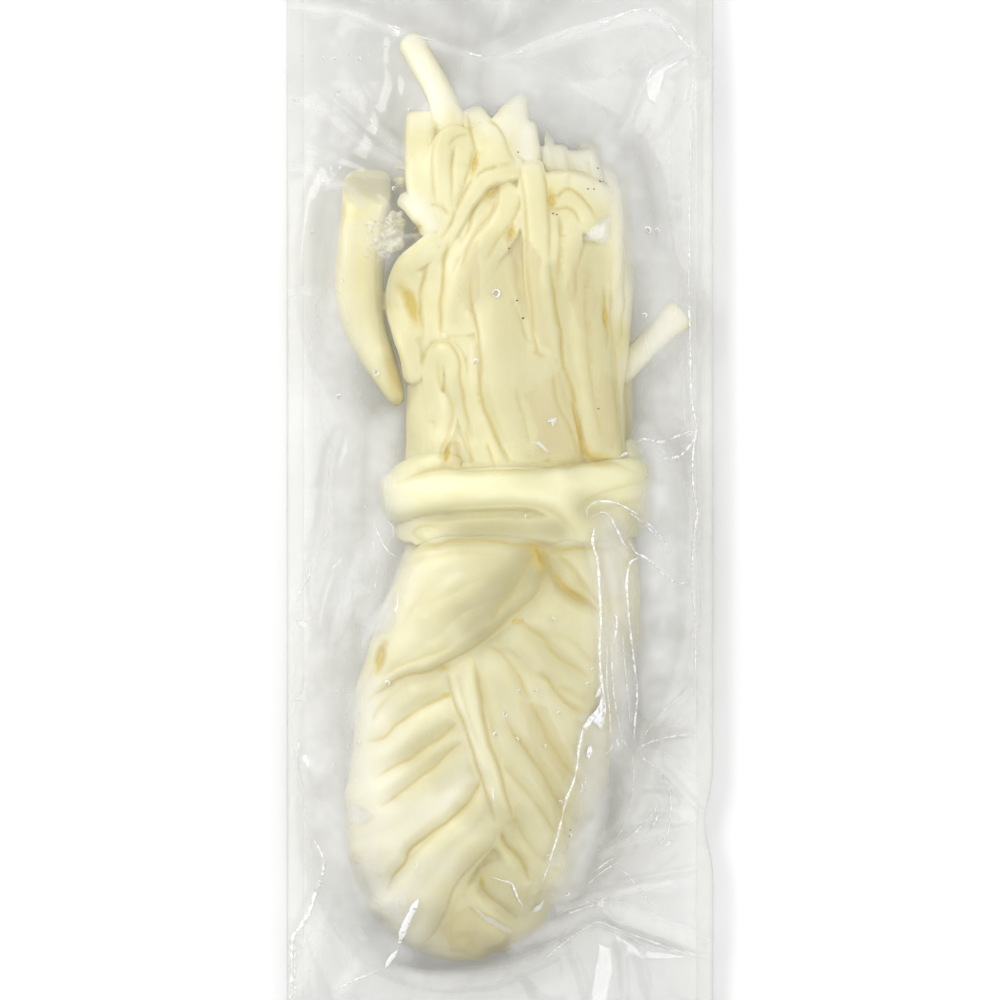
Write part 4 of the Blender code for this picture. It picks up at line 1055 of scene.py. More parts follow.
# creases in the front film: height (below zero for a groove), half width, line
CREASES = [
    # soft lip of the chamber along the top
    (0.9, 2.4, [(-57.0, 132.5), (-42.4, 131.2), (-27.8, 125.9), (-15.9, 121.9), (-5.3, 118.7), (0.0, 118.7),
        (10.6, 123.2), (23.9, 127.7), (37.1, 131.2), (43.7, 131.2), (50.4, 124.6), (52.5, 119.2)]),
    (0.5, 1.6, [(52.2, 119.2), (39.8, 112.6), (33.1, 98.1), (29.7, 88.8)]),
    # inner line of the right seal and the chamber's slanting corner
    (0.45, 1.2, [(52.5, 119.2), (52.5, 66.2), (52.2, 5.3), (52.5, -50.4)]),
    (0.6, 1.5, [(52.5, -47.7), (45.6, -56.2), (37.1, -66.2)]),
    (0.4, 1.3, [(37.1, -66.2), (44.5, -63.1), (53.0, -62.3)]),
    (0.4, 1.2, [(37.1, -66.2), (42.9, -71.5), (50.4, -79.5), (56.2, -85.3)]),
    # pleats that run down the right side of the bulb
    (1.1, 1.3, [(23.1, -4.0), (23.9, -1.3), (27.8, -0.8), (31.8, -1.3), (39.8, -8.0), (50.4, -21.2)]),
    (0.8, 1.2, [(50.4, -21.2), (47.7, -22.0), (41.1, -17.2), (36.3, -15.1)]),
    (1.0, 1.3, [(26.0, -8.0), (24.4, -11.9), (25.7, -21.2), (26.5, -37.1), (26.5, -53.0), (22.5, -61.0),
        (20.7, -68.9), (19.3, -74.2), (17.2, -79.5), (15.9, -87.5), (13.2, -95.4), (9.3, -103.4),
        (8.0, -108.7)]),
    (1.0, 1.3, [(27.8, -2.7), (31.8, -10.6), (35.0, -15.9), (33.7, -22.5), (34.5, -34.5), (35.8, -50.4),
        (35.2, -64.9)]),
    (0.8, 1.2, [(29.7, -30.5), (31.0, -37.1), (31.8, -53.0), (37.1, -66.2)]),
    # bottom
    (-0.7, 1.8, [(-30.5, -123.2), (-18.6, -125.9), (0.0, -123.2), (15.9, -117.9), (26.5, -112.6),
        (37.1, -117.9), (57.0, -123.2)]),
    (0.7, 1.4, [(-21.7, -106.0), (-23.9, -110.0), (-26.5, -115.3), (-30.5, -124.6)]),
    (0.6, 1.4, [(-47.7, -98.1), (-50.9, -107.3), (-55.7, -119.2)]),
    (0.8, 1.6, [(26.5, -92.2), (33.1, -87.5), (41.1, -85.3), (50.4, -86.4)]),
    (0.25, 1.4, [(28.1, -94.3), (37.1, -91.4), (50.4, -87.5)]),
    (0.6, 1.4, [(15.9, -107.3), (26.5, -103.4), (39.8, -100.7), (56.2, -97.5)]),
    (0.6, 1.4, [(19.9, -100.7), (29.2, -111.3), (37.1, -121.9), (39.8, -132.5)]),
    (0.5, 1.3, [(12.7, -112.6), (19.9, -121.9), (23.9, -135.2)]),
    (0.5, 1.3, [(26.5, -79.5), (37.1, -76.9), (47.7, -76.9)]),
    # strap's right side
    (0.6, 1.2, [(50.4, 46.4), (51.1, 21.2), (53.0, 15.9)]),
    (0.5, 1.1, [(37.1, 12.7), (44.5, 14.8), (53.0, 15.4)]),
    (0.5, 1.1, [(37.6, 10.1), (45.6, 10.6), (52.5, 8.5)]),
    # upper left, fanning from the loose strand
    (0.5, 1.3, [(-26.5, 90.1), (-39.8, 103.4), (-57.0, 116.6)]),
    (0.4, 1.3, [(-25.4, 95.4), (-37.1, 111.3), (-48.2, 127.2)]),
    (0.4, 1.2, [(-30.5, 86.1), (-45.1, 92.8), (-57.0, 96.7)]),
    (0.5, 1.3, [(-53.0, -68.9), (-49.8, -73.7), (-47.2, -79.5)]),
]


# milky zones of the film, partly painted sheen, and painted light that lifts the shadow beside the cheese:
# whiteness, half width, line
HAZE_AND_SHEEN = [
    (0.42, 6.5, [(29.7, -8.0), (29.7, -21.2), (30.7, -37.1), (31.3, -53.0), (32.3, -64.9)]),
    (0.20, 3.0, [(35.2, -15.9), (35.0, -29.2), (36.0, -47.7)]),
    (0.42, 5.5, [(24.9, -61.0), (24.4, -76.9), (22.3, -90.1), (17.5, -103.4)]),
    (0.30, 4.5, [(35.2, -66.8), (44.5, -71.5), (53.0, -79.5)]),
    (0.25, 4.0, [(37.1, -88.8), (44.5, -85.3), (50.4, -83.5)]),
    (0.22, 3.0, [(27.0, -94.3), (32.3, -91.4), (39.8, -89.0), (46.6, -84.8)]),
    (0.32, 1.8, [(15.9, -108.7), (29.2, -104.9), (45.1, -102.0)]),
    (0.30, 3.4, [(5.3, -119.2), (18.6, -112.6), (26.5, -109.2), (39.8, -112.6), (56.2, -119.8)]),
    (0.20, 2.2, [(-57.0, 107.3), (-47.7, 104.4), (-39.2, 97.0), (-26.5, 89.0)]),
    (0.18, 2.0, [(-42.4, 114.0), (-37.6, 107.3), (-35.5, 101.2), (-25.4, 92.2)]),
    (0.26, 1.8, [(-57.0, 88.5), (-50.9, 88.0), (-47.7, 84.3), (-41.1, 83.7), (-36.6, 78.4)]),
    (0.22, 2.4, [(-57.0, 55.1), (-51.7, 55.7), (-48.2, 53.0)]),
    (0.30, 4.2, [(-35.5, -10.6), (-39.2, -19.9), (-41.3, -31.8), (-42.9, -42.4)]),
    (0.24, 5.0, [(-45.1, -15.9), (-47.2, -31.8), (-48.2, -50.4), (-50.4, -63.6)]),
    (0.28, 2.6, [(-50.4, -79.5), (-43.7, -87.5), (-41.1, -98.1), (-39.8, -107.3)]),
    (0.30, 3.0, [(-42.4, -129.8), (-36.6, -121.4), (-30.5, -114.0)]),
    (0.25, 3.0, [(-54.1, -129.8), (-50.4, -119.2), (-45.1, -107.3)]),
    (0.28, 3.0, [(-29.7, -125.1), (-18.6, -128.5), (0.0, -126.7), (15.9, -119.8)]),
    (0.22, 1.6, [(-57.0, 132.0), (-42.4, 130.4), (-27.8, 124.8), (-15.9, 120.8), (-5.3, 117.7), (0.5, 117.7),
        (11.1, 122.2), (24.4, 126.7), (37.6, 130.1)]),
    (0.30, 4.0, [(50.9, 119.2), (44.5, 117.7), (40.3, 111.8), (38.4, 103.4), (32.3, 95.4)]),
    (0.22, 5.0, [(42.4, 106.0), (43.5, 79.5), (44.5, 53.0)]),
    (0.25, 2.2, [(39.8, 26.5), (45.6, 21.2), (50.4, 18.0)]),
    # over the cut tips and the outer strands
    (0.2, 4.0, [(48.8, 48.8), (43.5, 43.5), (38.2, 37.6)]),
    (0.2, 4.0, [(-40.3, 71.0), (-41.9, 55.7), (-38.7, 42.4)]),
    (0.30, 5.0, [(-35.5, -90.1), (-33.4, -100.7), (-26.5, -110.0)]),
    (0.24, 6.0, [(-38.2, -53.0), (-39.2, -68.9), (-39.8, -84.8)]),
    (0.20, 5.0, [(-35.0, -37.1), (-29.7, -26.5), (-26.5, -18.6)]),
    (0.36, 9.0, [(-48.8, -37.1), (-47.2, -68.9), (-42.9, -100.7), (-33.9, -119.8)]),
    (0.5, 9.0, [(42.4, 0.0), (43.5, -26.5), (43.5, -53.0)]),
    (0.36, 8.0, [(41.3, 63.6), (42.9, 42.4), (43.5, 21.2)]),
    (0.40, 9.0, [(1.3, 112.4), (12.7, 108.1), (23.3, 100.2)]),
    (0.36, 7.0, [(26.5, 98.1), (33.9, 82.2), (37.6, 66.2)]),
    (0.34, 8.0, [(-44.5, 50.4), (-41.9, 26.5), (-39.8, 8.0), (-39.8, -10.6)]),
    (0.34, 5.0, [(-30.2, 19.9), (-32.3, 5.3)]),
    (0.36, 6.0, [(40.3, 15.9), (46.1, 0.0), (48.2, -15.9), (48.8, -31.8)]),
    (0.40, 7.0, [(32.3, -61.0), (37.1, -74.2), (37.1, -84.8)]),
    (0.34, 6.0, [(-39.8, -98.1), (-35.0, -112.6), (-27.6, -119.2)]),
    (0.36, 6.0, [(-31.8, 18.6), (-33.9, 0.0), (-33.4, -15.9), (-36.0, -29.2)]),
    (0.28, 6.0, [(-41.1, -10.6), (-43.5, -29.2), (-44.5, -47.7)]),
    (0.36, 5.0, [(39.8, 18.6), (42.4, 8.0), (44.0, 0.0)]),
    (0.30, 9.0, [(29.7, 119.2), (40.3, 121.9), (49.3, 114.0)]),
    (0.26, 6.0, [(-8.0, 115.0), (-10.1, 107.1)]),
    (0.16, 5.0, [(-30.7, 74.7), (-30.7, 65.7)]),
]
# painted shade: grey zones where what shows through the film is darkened, for the shadow under the film where
# it stands clear: depth of grey, half width, line
SHADE = [
    (0.16, 5.0, [(-15.9, 137.8), (-5.3, 127.2), (5.3, 127.2), (15.9, 135.2)]),
    (0.10, 4.0, [(-53.0, 140.5), (-37.1, 133.8), (-21.2, 129.3)]),
    (0.08, 3.5, [(31.3, -74.2), (28.6, -84.8), (25.4, -92.8), (20.1, -100.7)]),
    (0.07, 9.0, [(-55.7, 111.3), (-43.7, 100.7), (-33.1, 92.8)]),
    (0.14, 3.4, [(35.0, -31.8), (35.5, -47.7), (35.0, -63.6)]),
    (0.10, 5.0, [(41.1, 26.5), (40.3, 8.0), (43.5, -10.6), (43.5, -37.1), (39.8, -53.0)]),
    (0.14, 4.0, [(-34.5, -114.0), (-23.9, -122.4), (-8.0, -125.1), (10.6, -119.2)]),
    (0.12, 3.5, [(-27.8, 88.8), (-29.2, 66.2), (-30.7, 53.0)]),
    (0.14, 2.6, [(31.8, 88.0), (34.5, 94.9), (38.2, 100.2)]),
]


def soft_zones(x, y, zones, rough=1.0):
    """Strength of the soft zones along the lines, with feathered rims."""
    total = np.zeros(x.shape)
    flat = np.stack([x, y, x * 0], axis=-1)
    ragged = 0.95 + rough * (0.3 * noise(flat, 7.0, 41) + 0.1 * noise(flat, 2.4, 42))
    for strength, half, line in zones:
        gap = line_distance(x, y, smooth_curve(line, 6))[0]
        total = np.maximum(total, strength * np.clip(1 - (gap / (1.3 * half)) ** 2, 0, 1) ** 2 * ragged)
    return total


def crumple(x, y):
    """Small random folds of the loose film."""
    flat = np.stack([x, y, x * 0], axis=-1)
    sway = np.stack([noise(flat, 22, 3), noise(flat, 22, 4), x * 0], axis=-1) * 6
    slow = noise((flat + sway) * np.array([1.0, 0.45, 1]), 13.0, 31)
    fast = noise((flat + sway) * np.array([0.8, 0.5, 1]), 5.5, 32)
    folds = (1 - np.abs(slow)) ** 6 * 0.35 + (1 - np.abs(fast)) ** 6 * 0.12
    return folds + 0.35 * noise(flat, 18.0, 33)


def film_heights(tree):
    """Grid of the pouch with its front and back heights."""
    x, y = np.meshgrid(np.linspace(-HALF_WIDTH, HALF_WIDTH, COLUMNS + 1),
                       np.linspace(-HALF_LENGTH, HALF_LENGTH, ROWS + 1))
    step = 2 * HALF_WIDTH / COLUMNS
    seam = seam_at(y)
    top = probe(tree, x, y, ABOVE)
    bottom = probe(tree, x, y, BELOW)
    crest = widest(np.nan_to_num(top, nan=0))
    wall = np.maximum(seam + 0.1, np.where(crest > 0, crest + FILM_GAP, 0))
    front = drape(wall, step)
    hold = np.where(np.isnan(bottom), 0, seam - np.nan_to_num(bottom, nan=0) + FILM_GAP)
    hold = np.clip(widest(hold), 0, seam - 0.05)
    back = seam - 0.1 - np.minimum(drape(hold, step), seam - 0.15)
    edge = (np.clip((HALF_WIDTH - 0.5 - np.abs(x)) / 6, 0, 1)
            * np.clip((HALF_LENGTH - 0.5 - np.abs(y)) / 8, 0, 1))
    loose = np.clip((front - seam) / 0.8, 0, 1)
    lift = np.zeros(x.shape)
    for height, half, line in CREASES:
        gap, _, part = line_distance(x, y, smooth_curve(line, 6))
        ridge = height * np.clip(1 - gap / (half * 1.4), 0, 1) ** 1.3
        fade = np.clip(np.minimum(part, 1 - part) / 0.12, 0.15, 1)
        lift = np.where(np.abs(ridge * fade) > np.abs(lift), ridge * fade, lift)
    near = np.where(np.isnan(top), 1.0, 0.0)
    blur(near, 12)
    ripple = crumple(x, y) * edge * near
    front = front + np.maximum(lift, np.where(np.isnan(top), -0.7, 0)) * np.clip(edge * 3, 0, 1)
    front = front + np.maximum(ripple, -0.1)
    front = np.maximum(front, np.where(np.isnan(top), seam - 0.6, wall))
    off = np.where(np.isnan(top), 1.0, np.clip((front - np.nan_to_num(top, nan=0) - 0.9) / 1.6, 0, 1))
    blur(off, 3)
    back = np.minimum(back + np.minimum(ripple, 0.2) * (1 - 0.6 * loose), front - 0.15)
    return x, y, front, np.maximum(back, 0.02), off


GATHER, GATHER_AT, GATHER_SPREAD = 2.4, -86, 8  # depth, place along the edge and size of a gather
SEAL_WIDTH = 4.5  # of a side weld
END_SEAL = 7.0  # width of an end weld


def edge_pull(x, y):
    """How far a gather in the film draws in the right edge."""
    near_edge = np.clip((x - HALF_WIDTH + SEAL_WIDTH) / SEAL_WIDTH, 0, 1)
    return near_edge * (GATHER * np.exp(-(((y - GATHER_AT) / GATHER_SPREAD) ** 2)))


def pouch_film(grid, material):
    """The front and back films as one closed skin, its back on every other line of the grid."""
    x, y, front, back, loose = grid
    x = x - edge_pull(x, y)
    upper = np.stack([x, y, front], axis=-1)
    lower = np.stack([x, y, back], axis=-1)[::2, ::2]
    rows, columns = x.shape
    low_rows, low_columns = lower.shape[:2]
    base = rows * columns
    faces = squares(rows, columns, 0) + squares(low_rows, low_columns, base, True)
    rim_top = rim_of(rows, columns)
    for k in range(0, len(rim_top), 2):
        a, b, c = (rim_top[(k + n) % len(rim_top)] for n in range(3))
        top = [i * columns + j for i, j in (a, b, c)]
        low = [base + (i // 2) * low_columns + j // 2 for i, j in (a, c)]
        faces.extend([[top[1], top[0], low[0]], [top[2], top[1], low[1]], [top[1], low[0], low[1]]])
    mesh = bpy.data.meshes.new("pouch_film")
    mesh.from_pydata((np.vstack([upper.reshape(-1, 3), lower.reshape(-1, 3)]) * MM).tolist(), [], faces)
    mesh.validate()
    mesh.shade_smooth()
    fields = {"loose": loose, "veil_and_sheen": soft_zones(x, y, HAZE_AND_SHEEN), "grey": soft_zones(x, y, SHADE)}
    for name, field in fields.items():
        behind = field[::2, ::2] * (1.0 if name == "loose" else 0.0)
        mark(mesh, name, np.concatenate([field.ravel(), behind.ravel()]))
    mesh.materials.append(material)
    return add_piece("pouch_film", mesh, "clear_film")


# ---------------------------------------------------------------- small pieces on and under the film
# sharp pleats, white with a painted highlight along each folded edge, in part whitened film: half width,
# height, whiteness, line
PLEATS = [
    (0.30, 0.50, 0.95, [(24.9, -6.9), (24.4, -11.1), (25.7, -16.4), (26.2, -23.9), (26.5, -31.8),
        (26.2, -39.8), (26.8, -47.7), (27.6, -54.6), (27.3, -58.8)]),
    (0.28, 0.45, 0.9, [(23.3, -4.8), (22.8, -2.9), (23.9, -1.3), (26.5, -0.3), (30.5, -0.8), (33.9, -2.4),
        (37.6, -4.8), (41.1, -8.2), (43.7, -11.1), (45.8, -13.8)]),
    (0.24, 0.35, 0.75, [(32.9, -2.4), (38.4, -6.6), (42.4, -11.1), (45.3, -14.8)]),
    (0.26, 0.45, 0.9, [(23.9, -4.5), (26.5, -3.2), (28.6, -4.0), (30.5, -7.2), (32.3, -10.9), (33.9, -13.2)]),
    (0.26, 0.45, 0.95, [(33.9, -10.6), (35.5, -13.5), (37.6, -14.8), (40.3, -16.7), (43.7, -19.9),
        (46.4, -21.7), (49.0, -22.0), (50.6, -19.9)]),
    (0.30, 0.55, 0.95, [(37.6, -15.1), (34.5, -16.4), (33.4, -21.2), (33.7, -27.8), (34.7, -37.1),
        (35.5, -43.7), (36.3, -50.9), (35.8, -57.8), (35.5, -65.7)]),
    (0.26, 0.40, 0.9, [(28.9, -29.4), (30.7, -31.0), (30.5, -35.0), (29.9, -39.2)]),
    (0.24, 0.40, 0.6, [(29.4, -37.1), (29.7, -47.7), (30.5, -54.3), (31.8, -61.0), (32.9, -65.7)]),
    (0.22, 0.35, 0.5, [(28.1, -37.1), (28.1, -47.7), (28.9, -56.2), (29.4, -64.9)]),
    (0.24, 0.40, 0.6, [(32.3, -34.5), (32.9, -43.7), (33.9, -53.0), (34.5, -61.0)]),
    (0.26, 0.40, 0.9, [(30.7, -62.8), (31.5, -65.7), (32.9, -65.5)]),
    (0.24, 0.40, 0.8, [(27.6, -67.3), (29.4, -65.7), (29.7, -63.1)]),
    (0.32, 0.50, 0.95, [(22.0, -59.9), (20.9, -64.9), (20.4, -69.7), (19.3, -74.5), (17.5, -78.7),
        (16.4, -83.5)]),
    (0.28, 0.40, 0.6, [(16.7, -82.7), (14.8, -90.1), (13.0, -95.9), (10.9, -101.8)]),
    (0.24, 0.35, 0.85, [(20.1, -73.7), (21.7, -75.3), (20.9, -77.6)]),
    (0.22, 0.35, 0.8, [(22.8, -72.9), (22.3, -75.8)]),
    # rays from the pinch beside the braid
    (0.26, 0.40, 0.7, [(35.2, -66.8), (40.3, -64.4), (46.1, -63.1), (52.5, -62.3)]),
    (0.28, 0.45, 0.35, [(35.2, -66.2), (35.5, -73.7), (34.7, -81.1), (32.9, -86.9), (30.2, -91.4)]),
    (0.28, 0.40, 0.55, [(35.5, -67.3), (39.8, -70.0), (43.7, -74.2), (45.3, -78.2), (45.6, -83.5),
        (44.5, -89.6), (41.1, -93.3)]),
    (0.24, 0.35, 0.5, [(35.0, -66.8), (32.9, -64.1), (30.7, -60.4)]),
    (0.24, 0.40, 0.45, [(37.4, -64.1), (41.1, -58.8), (45.6, -54.3), (52.2, -49.3)]),
    (0.26, 0.40, 0.8, [(32.3, -90.9), (34.7, -89.8), (37.9, -86.9), (41.3, -82.7), (42.1, -80.6)]),
    (0.40, 0.45, 0.9, [(39.2, -89.0), (41.1, -86.4), (42.4, -83.2)]),
    (0.30, 0.40, 0.9, [(42.9, -93.8), (44.8, -92.0), (46.1, -90.6)]),
    (0.26, 0.40, 0.8, [(23.3, -102.6), (26.0, -99.9), (28.9, -98.1), (32.1, -96.5)]),
    (0.26, 0.40, 0.75, [(24.9, -99.1), (28.1, -96.7), (31.3, -94.9)]),
    (0.26, 0.40, 0.9, [(15.9, -110.8), (20.4, -109.4), (25.7, -107.9), (29.7, -106.8)]),
    (0.22, 0.30, 0.6, [(16.4, -109.4), (21.2, -107.9), (26.5, -106.0)]),
    (0.34, 0.50, 0.45, [(10.6, -123.5), (17.5, -117.9), (25.4, -112.9), (29.7, -114.0), (39.8, -117.7),
        (53.0, -122.4)]),
    (0.30, 0.40, 0.4, [(31.5, -97.5), (35.0, -101.2), (38.4, -105.2), (41.1, -108.7)]),
    # beside the strap
    (0.34, 0.50, 0.95, [(36.0, 15.1), (38.4, 16.2), (42.1, 15.4), (45.6, 16.4), (49.3, 17.8), (52.2, 18.8)]),
    (0.30, 0.45, 0.95, [(41.1, 12.7), (43.7, 11.1), (47.7, 11.7), (50.4, 14.3), (52.5, 17.5)]),
    (0.28, 0.40, 0.9, [(30.7, 10.9), (32.3, 11.9), (34.2, 12.7)]),
    (0.26, 0.40, 0.8, [(41.1, 15.9), (42.7, 13.5), (44.5, 11.7)]),
    # inner line of the right seal
    (0.22, 0.35, 0.55, [(51.7, 117.1), (51.4, 108.7), (50.9, 92.8), (50.6, 74.2), (50.4, 52.5)]),
    (0.26, 0.40, 0.85, [(51.9, 53.8), (50.4, 51.7), (50.6, 45.1), (50.9, 31.8), (51.4, 25.2), (52.5, 19.6),
        (51.9, 15.4), (51.4, 9.0), (51.7, 2.7), (52.7, -3.2), (51.9, -8.5), (51.4, -14.8), (50.9, -20.1)]),
    (0.22, 0.35, 0.6, [(51.1, -20.7), (51.9, -29.2), (52.2, -39.8), (52.2, -48.8)]),
    # lip of the chamber at the top
    (0.22, 0.30, 0.6, [(-29.2, 126.9), (-26.0, 125.3)]),
    (0.22, 0.30, 0.6, [(-22.5, 124.0), (-18.6, 122.7), (-13.8, 121.4)]),
    (0.24, 0.30, 0.75, [(-9.8, 120.3), (-6.6, 118.7), (-2.7, 118.5)]),
    (0.24, 0.30, 0.75, [(-0.8, 118.2), (4.0, 119.2), (8.0, 120.6)]),
    (0.22, 0.30, 0.6, [(11.4, 122.4), (14.8, 123.5), (19.9, 126.1)]),
    (0.26, 0.35, 0.9, [(23.9, 127.5), (27.8, 127.5), (32.3, 129.6), (37.1, 130.9), (41.3, 130.4),
        (45.1, 127.5), (49.0, 122.7), (52.2, 119.5)]),
    # left margin
    (0.26, 0.40, 0.7, [(-51.1, -14.8), (-50.9, -19.9), (-53.3, -23.9), (-54.6, -28.6)]),
    (0.22, 0.30, 0.5, [(-50.4, -78.2), (-51.9, -82.7), (-52.7, -88.0)]),
    (0.22, 0.30, 0.4, [(-49.6, -78.7), (-47.2, -81.6), (-45.1, -84.8)]),
    (0.45, 0.50, 0.95, [(-49.8, -90.6), (-48.0, -93.3), (-46.9, -96.5), (-47.4, -100.2), (-49.0, -104.1),
        (-50.6, -109.2), (-53.3, -114.0), (-55.4, -116.9), (-55.7, -121.9), (-55.7, -128.5),
        (-55.9, -135.2)]),
    (0.24, 0.30, 0.7, [(-54.1, -116.6), (-54.9, -123.2), (-54.6, -133.8)]),
    (0.80, 0.60, 0.98, [(-21.5, -105.2), (-23.6, -109.2), (-25.4, -113.4), (-27.0, -118.5)]),
    (0.60, 0.50, 0.98, [(-27.3, -119.8), (-29.2, -122.4), (-30.7, -125.1)]),
    (0.26, 0.35, 0.6, [(-31.3, -125.1), (-35.0, -126.7), (-39.8, -128.8), (-44.5, -131.4)]),
    (0.26, 0.35, 0.5, [(-33.9, -4.2), (-32.3, -9.0), (-29.7, -13.5), (-27.0, -15.1)]),
    (0.22, 0.30, 0.35, [(-30.2, -4.8), (-28.1, -8.0), (-29.2, -11.9)]),
    # round tip
    (0.24, 0.35, 0.9, [(-2.4, -99.4), (0.0, -100.2), (2.9, -101.2), (4.0, -103.4), (4.8, -105.5),
        (6.4, -107.9)]),
    (0.22, 0.30, 0.7, [(1.1, -95.7), (2.9, -97.3)]),
    (0.26, 0.30, 0.7, [(-1.6, -75.3), (-1.9, -77.6), (-1.3, -79.8)]),
    (0.30, 0.25, 0.35, [(-22.0, -94.9), (-22.0, -97.5), (-21.5, -100.4)]),
]
# painted glints and whitish facets of the film: whiteness, outline
FACETS = [
    (0.95, [(25.2, -55.4), (26.5, -53.0), (27.0, -49.3), (27.6, -54.6), (27.6, -58.3), (26.5, -61.0),
        (25.2, -59.4), (24.1, -58.6), (22.8, -60.4), (21.7, -59.9), (23.3, -57.2)]),
    (0.6, [(24.9, -51.9), (25.7, -49.8), (26.5, -48.8), (26.8, -50.9), (25.7, -52.2)]),
    (0.88, [(23.1, -64.7), (24.1, -64.1), (24.4, -66.2), (23.6, -68.6), (22.8, -68.1), (22.8, -66.2)]),
    (0.5, [(11.4, 20.1), (13.2, 21.7), (15.4, 22.3), (14.0, 18.8), (13.2, 20.7)]),
    (0.45, [(8.0, 15.1), (10.1, 15.9), (11.9, 14.3), (13.5, 12.5), (12.2, 12.7), (9.8, 14.6)]),
    (0.5, [(8.2, -109.4), (9.8, -107.3), (11.7, -106.0), (11.4, -108.4), (9.8, -109.4)]),
    (0.4, [(21.2, 68.9), (23.3, 71.5), (27.0, 74.7), (29.7, 76.6), (29.4, 72.1), (29.7, 68.1), (27.6, 67.0),
        (24.4, 68.6)]),
    (0.5, [(25.4, -106.8), (28.1, -106.3), (27.6, -108.7), (25.7, -109.2)]),
    (0.3, [(29.7, -115.0), (37.1, -117.9), (50.9, -122.4), (39.8, -122.7), (32.3, -121.9)]),
    (0.12, [(26.5, -117.9), (29.7, -119.2), (30.2, -127.2), (28.1, -134.6), (23.9, -135.2), (24.9, -127.2)]),
    (0.4, [(52.2, 119.5), (48.2, 120.6), (44.0, 119.0), (40.5, 116.1), (38.7, 111.6), (39.2, 107.1),
        (41.1, 105.7), (42.9, 109.7), (44.0, 114.0), (46.1, 117.1), (50.4, 118.5)]),
    (0.6, [(-56.2, -53.8), (-53.3, -53.0), (-51.9, -48.2), (-51.1, -51.9), (-50.6, -54.9), (-53.0, -54.3)]),
    (0.45, [(-54.1, -64.1), (-52.2, -65.7), (-50.6, -71.5), (-50.1, -79.5), (-52.2, -79.0), (-53.8, -72.9),
        (-55.1, -67.6)]),
    (0.4, [(-54.9, -31.3), (-52.2, -32.1), (-51.4, -33.9), (-53.8, -34.2)]),
    (0.35, [(-44.8, -17.5), (-40.3, -12.2), (-36.0, -9.0), (-33.4, -10.6), (-31.8, -15.9), (-32.9, -23.9),
        (-36.6, -26.0), (-39.2, -29.7), (-42.4, -37.1), (-45.6, -41.1), (-47.2, -31.8)]),
    (0.3, [(-37.4, -33.9), (-33.9, -29.7), (-28.6, -23.3), (-26.5, -23.9), (-27.0, -31.8), (-29.7, -35.5),
        (-33.9, -36.0), (-37.1, -39.8)]),
    (0.28, [(-41.6, -81.1), (-39.2, -80.0), (-35.0, -81.1), (-32.9, -83.5), (-35.5, -85.9), (-39.8, -85.3)]),
    (0.3, [(-8.5, -106.5), (-4.8, -109.2), (0.0, -111.8), (3.4, -114.0), (3.7, -115.8), (0.0, -114.0),
        (-5.3, -110.5)]),
    (0.15, [(11.9, -93.5), (15.1, -92.5), (17.5, -94.9), (15.9, -97.5), (12.7, -97.0)]),
    (0.4, [(-38.2, -112.6), (-35.0, -115.5), (-32.9, -118.7), (-37.1, -119.2), (-39.8, -116.6)]),
]
# round bubbles: place and radius in millimetres
BUBBLES = [
    ((-1.1, 54.6), 1.3), ((39.2, 71.8), 1.25), ((41.9, 71.8), 0.8), ((38.4, 49.0), 0.8), ((-32.9, 33.9), 1.0),
    ((-6.4, 36.6), 0.8),
    ((-42.9, 27.6), 0.8), ((-43.2, 108.7), 0.7), ((-34.5, 101.2), 0.5), ((-28.1, 82.7), 0.6),
    ((-42.4, 88.5), 0.6), ((-24.1, 103.9), 0.45),
    ((1.3, -56.2), 0.7), ((-1.3, -61.5), 0.6), ((4.5, -62.8), 0.5), ((11.7, -64.7), 0.5),
    ((14.0, -31.3), 0.5), ((23.1, -48.5), 0.6),
    ((9.5, -50.1), 0.5), ((15.4, -55.9), 0.45), ((24.4, -44.5), 0.45), ((5.0, -50.1), 0.45),
    ((-29.7, -48.2), 0.8), ((17.8, -104.4), 0.7),
    ((15.9, -79.5), 0.5), ((22.3, -76.3), 0.6), ((18.6, -88.5), 0.5), ((-50.1, 71.5), 0.5),
    ((-47.2, 117.9), 0.5), ((-44.3, 117.9), 0.45),
    ((-53.0, 118.5), 0.4), ((-40.3, 119.0), 0.4), ((-37.6, 117.9), 0.5), ((-34.7, 119.0), 0.4),
    ((-30.7, 120.8), 0.4), ((-54.6, 106.8), 0.5),
    ((-39.8, 98.8), 0.4), ((-49.3, 51.7), 0.4), ((-41.9, 58.3), 0.4), ((-5.3, 100.2), 0.35),
    ((6.9, -4.2), 0.45), ((-16.4, 66.8), 0.4),
    ((-37.6, -64.1), 0.5), ((-38.2, -74.5), 0.4), ((-44.0, -70.2), 0.4), ((-18.8, -61.7), 0.35),
    ((-35.5, -1.6), 0.4), ((-43.5, -51.1), 0.5),
]
# dark specks of seasoning: place and radius in millimetres
SPECKS = [
    ((26.0, 88.0), 0.34), ((26.5, 84.5), 0.36), ((23.3, 82.4), 0.26), ((24.9, 82.4), 0.24),
    ((14.0, 75.8), 0.3), ((15.1, 75.5), 0.26),
    ((2.4, 66.5), 0.28), ((4.5, 52.7), 0.28), ((6.1, 48.0), 0.34), ((26.0, 24.1), 0.22),
    ((18.6, -87.2), 0.28), ((18.3, -89.0), 0.26),
    ((18.0, -91.7), 0.24), ((27.3, 84.5), 0.22), ((4.8, 92.2), 0.2),
]


def height_at(grid, x, y):
    """Height of the front film at a place."""
    column = np.clip((np.asarray(x, float) + HALF_WIDTH) / (2 * HALF_WIDTH) * COLUMNS, 0, COLUMNS - 0.001)
    row = np.clip((np.asarray(y, float) + HALF_LENGTH) / (2 * HALF_LENGTH) * ROWS, 0, ROWS - 0.001)
    return sample(grid[2], row, column)


def whiteness(piece, spans):
    """Stores how white each span of points is, a painted highlight on the film's pieces and the golden cover
    on the whey: (count of points, value or values).
    """
    values = np.concatenate([np.broadcast_to(value, count) for count, value in spans])
    mark(piece.data, "veil_and_sheen", values[:len(piece.data.vertices)])


